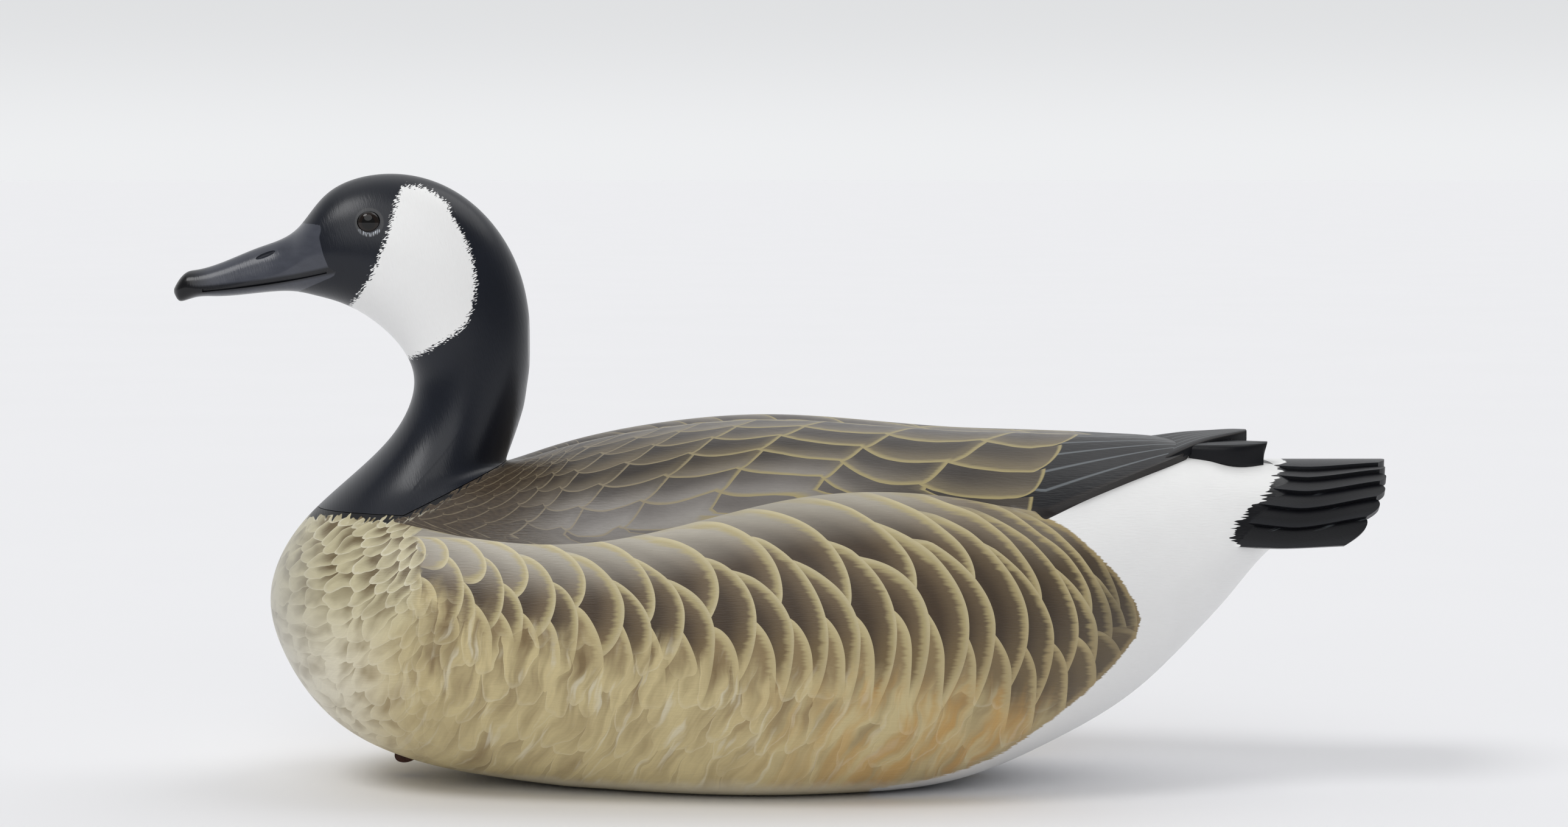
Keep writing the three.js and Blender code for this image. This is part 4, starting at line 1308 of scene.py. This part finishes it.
def body_material():
    sheet = painted("painted_feathers")
    x, y, below = sheet.field("seen")
    comb = noise(x * 30 + y * 18, y * 2 - x, 19.0, detail=1)
    wing = whole_wing_paint(sheet, x, y, below, comb)
    sides = sides_paint(sheet, x, y, below, comb)
    rim = x.step(*WING_RIM) * 0.38 + 0.02
    colour = mix((below - rim).step(-0.01, 0.02), wing, sides)
    colour = collar_paint(colour, sheet.field("borders")[0], x, y, comb)
    grain = noise(x * 6, y * 40, 23.0, detail=3)
    return sheet.finish(colour, 0.36 + 0.06 * grain, specular=0.38, height=grain, depth=0.0001)


def tip_material():
    sheet = painted("painted_wing_tips")
    across, x, below = sheet.field("tip")
    colour = mix(below.step(0.12, 0.3), primaries_paint(across, x), TIP_BLACK)
    grain = noise(x * 20, across * 60, 3.0)
    return sheet.finish(colour, 0.38 + 0.05 * grain, specular=0.22, height=grain, depth=0.00004)


def tail_material():
    sheet = painted("painted_tail")
    share, number, _ = sheet.field("tail")
    edge, x, y = rump_edge(sheet)
    strokes = noise(x * 0.6 + y * 1.6, y * 0.5, number)
    grain = noise(x * 2.5, share * 30, number)
    # Painted highlights: the middle feather on top of the arch gets a sheen, and each side feather is lighter
    # along its raised outer edge
    top = 1 - number.step(0.2, 0.8)
    colour = mix(top * 0.5, TAIL_BLACK, TAIL_HIGHLIGHT)
    crest = share.step(0.6, 0.95) * (1 - top)
    colour = mix(crest * 0.3, colour, TAIL_HIGHLIGHT)
    barbs = strokes.step(0.2, 0.45) * (1 - share.step(0.1, 0.3)) * (1 - top) * number.step(2.5, 3.5)
    colour = dim(mix(barbs * 0.45, colour, TIP_LINE), 1 + 0.15 * grain)
    colour = mix(edge.step(-0.12, 0.12), colour, NEAR_WHITE)
    return sheet.finish(colour, 0.36 + 0.05 * grain, specular=0.22, height=grain, depth=0.00004)


def bill_paint(x, y, mouth):
    colour = mix(noise(x * 4, y * 7, 6.0) * 0.4 + 0.4, BILL_SLATE, BILL_SHADE)
    colour = mix(1 - x.step(*BILL_NAIL), colour, BILL_DARK)
    lips = (1 - mouth.step(*LIP_BELOW)) * mouth.step(*LIP_ABOVE)
    return mix(lips * 0.85, colour, BILL_DARK)


def eyelid_paint(sheet, colour):
    """A faint ring round the eye, and white lashes under it."""
    away, across, down = sheet.field("eye")
    ring = (1 - away.step(*EYELID_OUTER)) * away.step(*EYELID_INNER)
    colour = mix(ring * 0.22, colour, EYE_RING)
    lashes = noise(across * 6.5, down * 0.5, 12.0, detail=0).step(-0.05, 0.2)
    under = down.step(*LASHES_TOP) * (1 - away.step(*LASHES_OUTER)) * away.step(*LASHES_INNER)
    return mix(lashes * under * 0.8, colour, LASH_WHITE)


def head_material():
    sheet = painted("painted_head")
    x, y, _ = sheet.field("seen")
    cheek, bill, mouth = sheet.field("face")
    lean = noise(x * 40 - y * 10, y * 6 + x * 3, 2.0, detail=1)
    jag = noise(x * 16 - y * 5, y * 48 + x * 22, 8.0, detail=0)
    black = mix(noise(x * 1.5, y * 1.5, 4.0) * 0.3 + 0.3, NECK_BLACK, NECK_SHEEN)
    white = dim(CHEEK_WHITE, 1 + 0.03 * lean)
    colour = mix((cheek + 1.1 * jag + 0.15 * lean - 0.1).step(-0.14, 0.14), black, white)
    colour = mix(bill.step(-0.06, 0.06), colour, bill_paint(x, y, mouth))
    roughness = blend(bill.step(-0.05, 0.05), 0.3 + 0.03 * lean, 0.22)
    colour = eyelid_paint(sheet, colour)
    return sheet.finish(colour, roughness, specular=0.4, height=lean, depth=0.00003)


def eye_material():
    sheet = painted("glass_eye")
    x, _, z = sheet.place()
    away = ((x - EYE_PLACE[0] * MM) ** 2 + (z - EYE_PLACE[1] * MM) ** 2).sqrt() / MM
    iris = dim(IRIS, 1 + 0.5 * noise(x * 2500, z * 2500))
    colour = mix(1 - away.step(*PUPIL_EDGE), iris, PUPIL)
    colour = mix(away.step(*EYE_RIM_EDGE), colour, EYE_RIM)
    return sheet.finish(colour, 0.04, specular=0.4)


def leather_material():
    sheet = painted("tie_leather")
    x, y, z = sheet.place()
    pores = noise(x * 1600, y * 1600, z * 1600, detail=4)
    colour = mix(pores * 0.5 + 0.5, LEATHER_DARK, LEATHER_LIGHT)
    return sheet.finish(colour, 0.5 + 0.12 * pores, height=pores, depth=0.0004)


def store_rows(piece, x, y):
    """Where each vertex lies in each row of flank feathers, and the feathers' size there."""
    for number, row in enumerate(FLANK_ROWS):
        tips = row["tips"]
        u = np.interp(x, tips, np.arange(len(tips)))
        spacing = np.interp(x, (np.array(tips[1:]) + tips[:-1]) / 2, np.diff(tips))
        drop = y - between(x, row["height"])
        reach = np.where(drop < 0, between(x, row["up"]), between(x, row["down"]))
        bow = between(x, row["bow"])
        store(piece, f"flank_row_{number}", u, drop / reach, bow / spacing)
        store(piece, f"flank_size_{number}", spacing / SQUARE, bow / reach)


def paint_fields(piece):
    """Ways to the borders between the paints in the side's picture, and in millimetres below the mouth."""
    points = vertices_of(piece)
    x, y = seen_at(points)
    cheek = distance_inside(x, y, CHEEK)
    across, down = x - EYE_SEEN[0], y - EYE_SEEN[1]
    mouth = MOUTH_LINE(points[:, 0]) - points[:, 2]
    store(piece, "face", cheek / STRIP, (between(y, BILL_EDGE) - x) / STRIP, mouth)
    store(piece, "eye", np.hypot(across, down) / STRIP, across / STRIP, down / STRIP)
    store(piece, "tail_white", (between(y, TAIL_WHITE) - x) / STRIP, y / STRIP, x / STRIP)
    rolled_x, rolled_y, _ = fetched(piece.data.attributes["seen"].data, "vector").T * SQUARE
    neck = between(x, NECK_EDGE) - y
    foot = between(rolled_x, FLANK_FOOT) - rolled_y
    flank = distance_inside(x, y, FLANK_EDGE)
    store(piece, "borders", neck / STRIP, flank / STRIP, foot / STRIP)
    store_rows(piece, rolled_x, rolled_y)


def settle(piece, materials, node):
    for material in materials:
        piece.data.materials.append(material)
    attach(piece, "root")
    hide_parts(node)


def make_bird():
    body, head, forms = carve_bird()
    for piece, node in ((body, "body"), (head, "head_and_neck")):
        low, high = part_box(node)
        keep_inside(piece, low, high)
        form = carry_over(piece, forms)
        paint_fields(piece)
        if piece is body:
            settle(piece, [body_material(), tip_material(), tail_material()], node)
            piece.data.polygons.foreach_set("material_index", form.astype(np.int32))
        else:
            settle(piece, [head_material()], node)
        smooth_shading(piece, SHARP_EDGE)


def make_eyes():
    material = eye_material()
    half_sizes = (EYE_DIAMETER / 2, EYE_THICKNESS / 2, EYE_DIAMETER / 2)
    for name, side in (("eye_left", -1), ("eye_right", 1)):
        eye = ball(f"goose_{name}", EYE_PLACE, side * EYE_Y, half_sizes)
        smooth_shading(eye, NEVER_SHARP)
        settle(eye, [material], name)


def make_tie():
    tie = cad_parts["line_tie"]
    tie.data.materials.clear()
    tie.data.materials.append(leather_material())


SENSOR = 36
CLIP_START = 0.05
HORIZON_LIGHT = 0.875
WALL_LIGHT = 0.765
WALL_RISE = 0.045
CAMERA_SIDE_LIGHT = 0.3
CAMERA_SIDE = (-0.2, 0.9)
FLOOR = 60000
# The suns of the studio: where each stands, how wide it is in degrees and its strength
LIGHTS = {
    "top": ((0, 0.15, 1), 70, 0.35),
    "front": ((-0.12, -0.8, 0.62), 50, 0.75),
    "left": ((-0.45, -0.35, 0.8), 24, 0.75),
    "right": ((0.5, 0.25, 0.83), 40, 0.45),
}


def make_camera():
    camera = in_scene("camera", bpy.data.cameras.new("camera"))
    camera.location = (VIEW_X * MM, -VIEW_AWAY * MM, VIEW_Z * MM)
    camera.rotation_euler = (math.pi / 2 - VIEW_DOWN, 0, 0)
    camera.data.sensor_width = SENSOR
    camera.data.lens = SENSOR * FOCAL / FRAME_WIDTH
    camera.data.clip_start = CLIP_START
    bpy.context.scene.camera = camera


def make_world():
    """A pale round that is lightest at the horizon and darker on the camera's side."""
    world = bpy.data.worlds.new("studio")
    sheet = Sheet(world, "ShaderNodeBackground", "ShaderNodeOutputWorld")
    _, y, z = sheet.place("Generated")
    light = blend(z.step(0.0, WALL_RISE), HORIZON_LIGHT, WALL_LIGHT)
    facing = blend(y.step(*CAMERA_SIDE), CAMERA_SIDE_LIGHT, 1.0)
    sheet.join(light * facing, sheet.shader.inputs["Strength"])
    sheet.shader.inputs["Color"].default_value = WALL_WHITE
    bpy.context.scene.world = world


def make_lights():
    """Wide soft lights from far away, which light the whole floor evenly."""
    for name, (direction, spread, strength) in LIGHTS.items():
        light = bpy.data.lights.new(name, "SUN")
        light.angle = math.radians(spread)
        light.energy = strength
        in_scene(name, light).rotation_euler = Vector(direction).to_track_quat("Z", "Y").to_euler()


def make_floor():
    corners = [(x * FLOOR, y * FLOOR, 0) for x, y in ((-1, -1), (1, -1), (1, 1), (-1, 1))]
    floor = bare_object("floor", corners, [(0, 1, 2, 3)])
    sheet = painted("floor_paper")
    x, y, _ = sheet.place()
    colour = dim(FLOOR_WHITE, 1 + 0.01 * noise(x * 3, y * 3))
    floor.data.materials.append(sheet.finish(colour, 0.9, specular=0))


make_camera()
make_bird()
make_eyes()
make_tie()
make_world()
make_lights()
make_floor()
bpy.context.scene.view_settings.view_transform = "Standard"
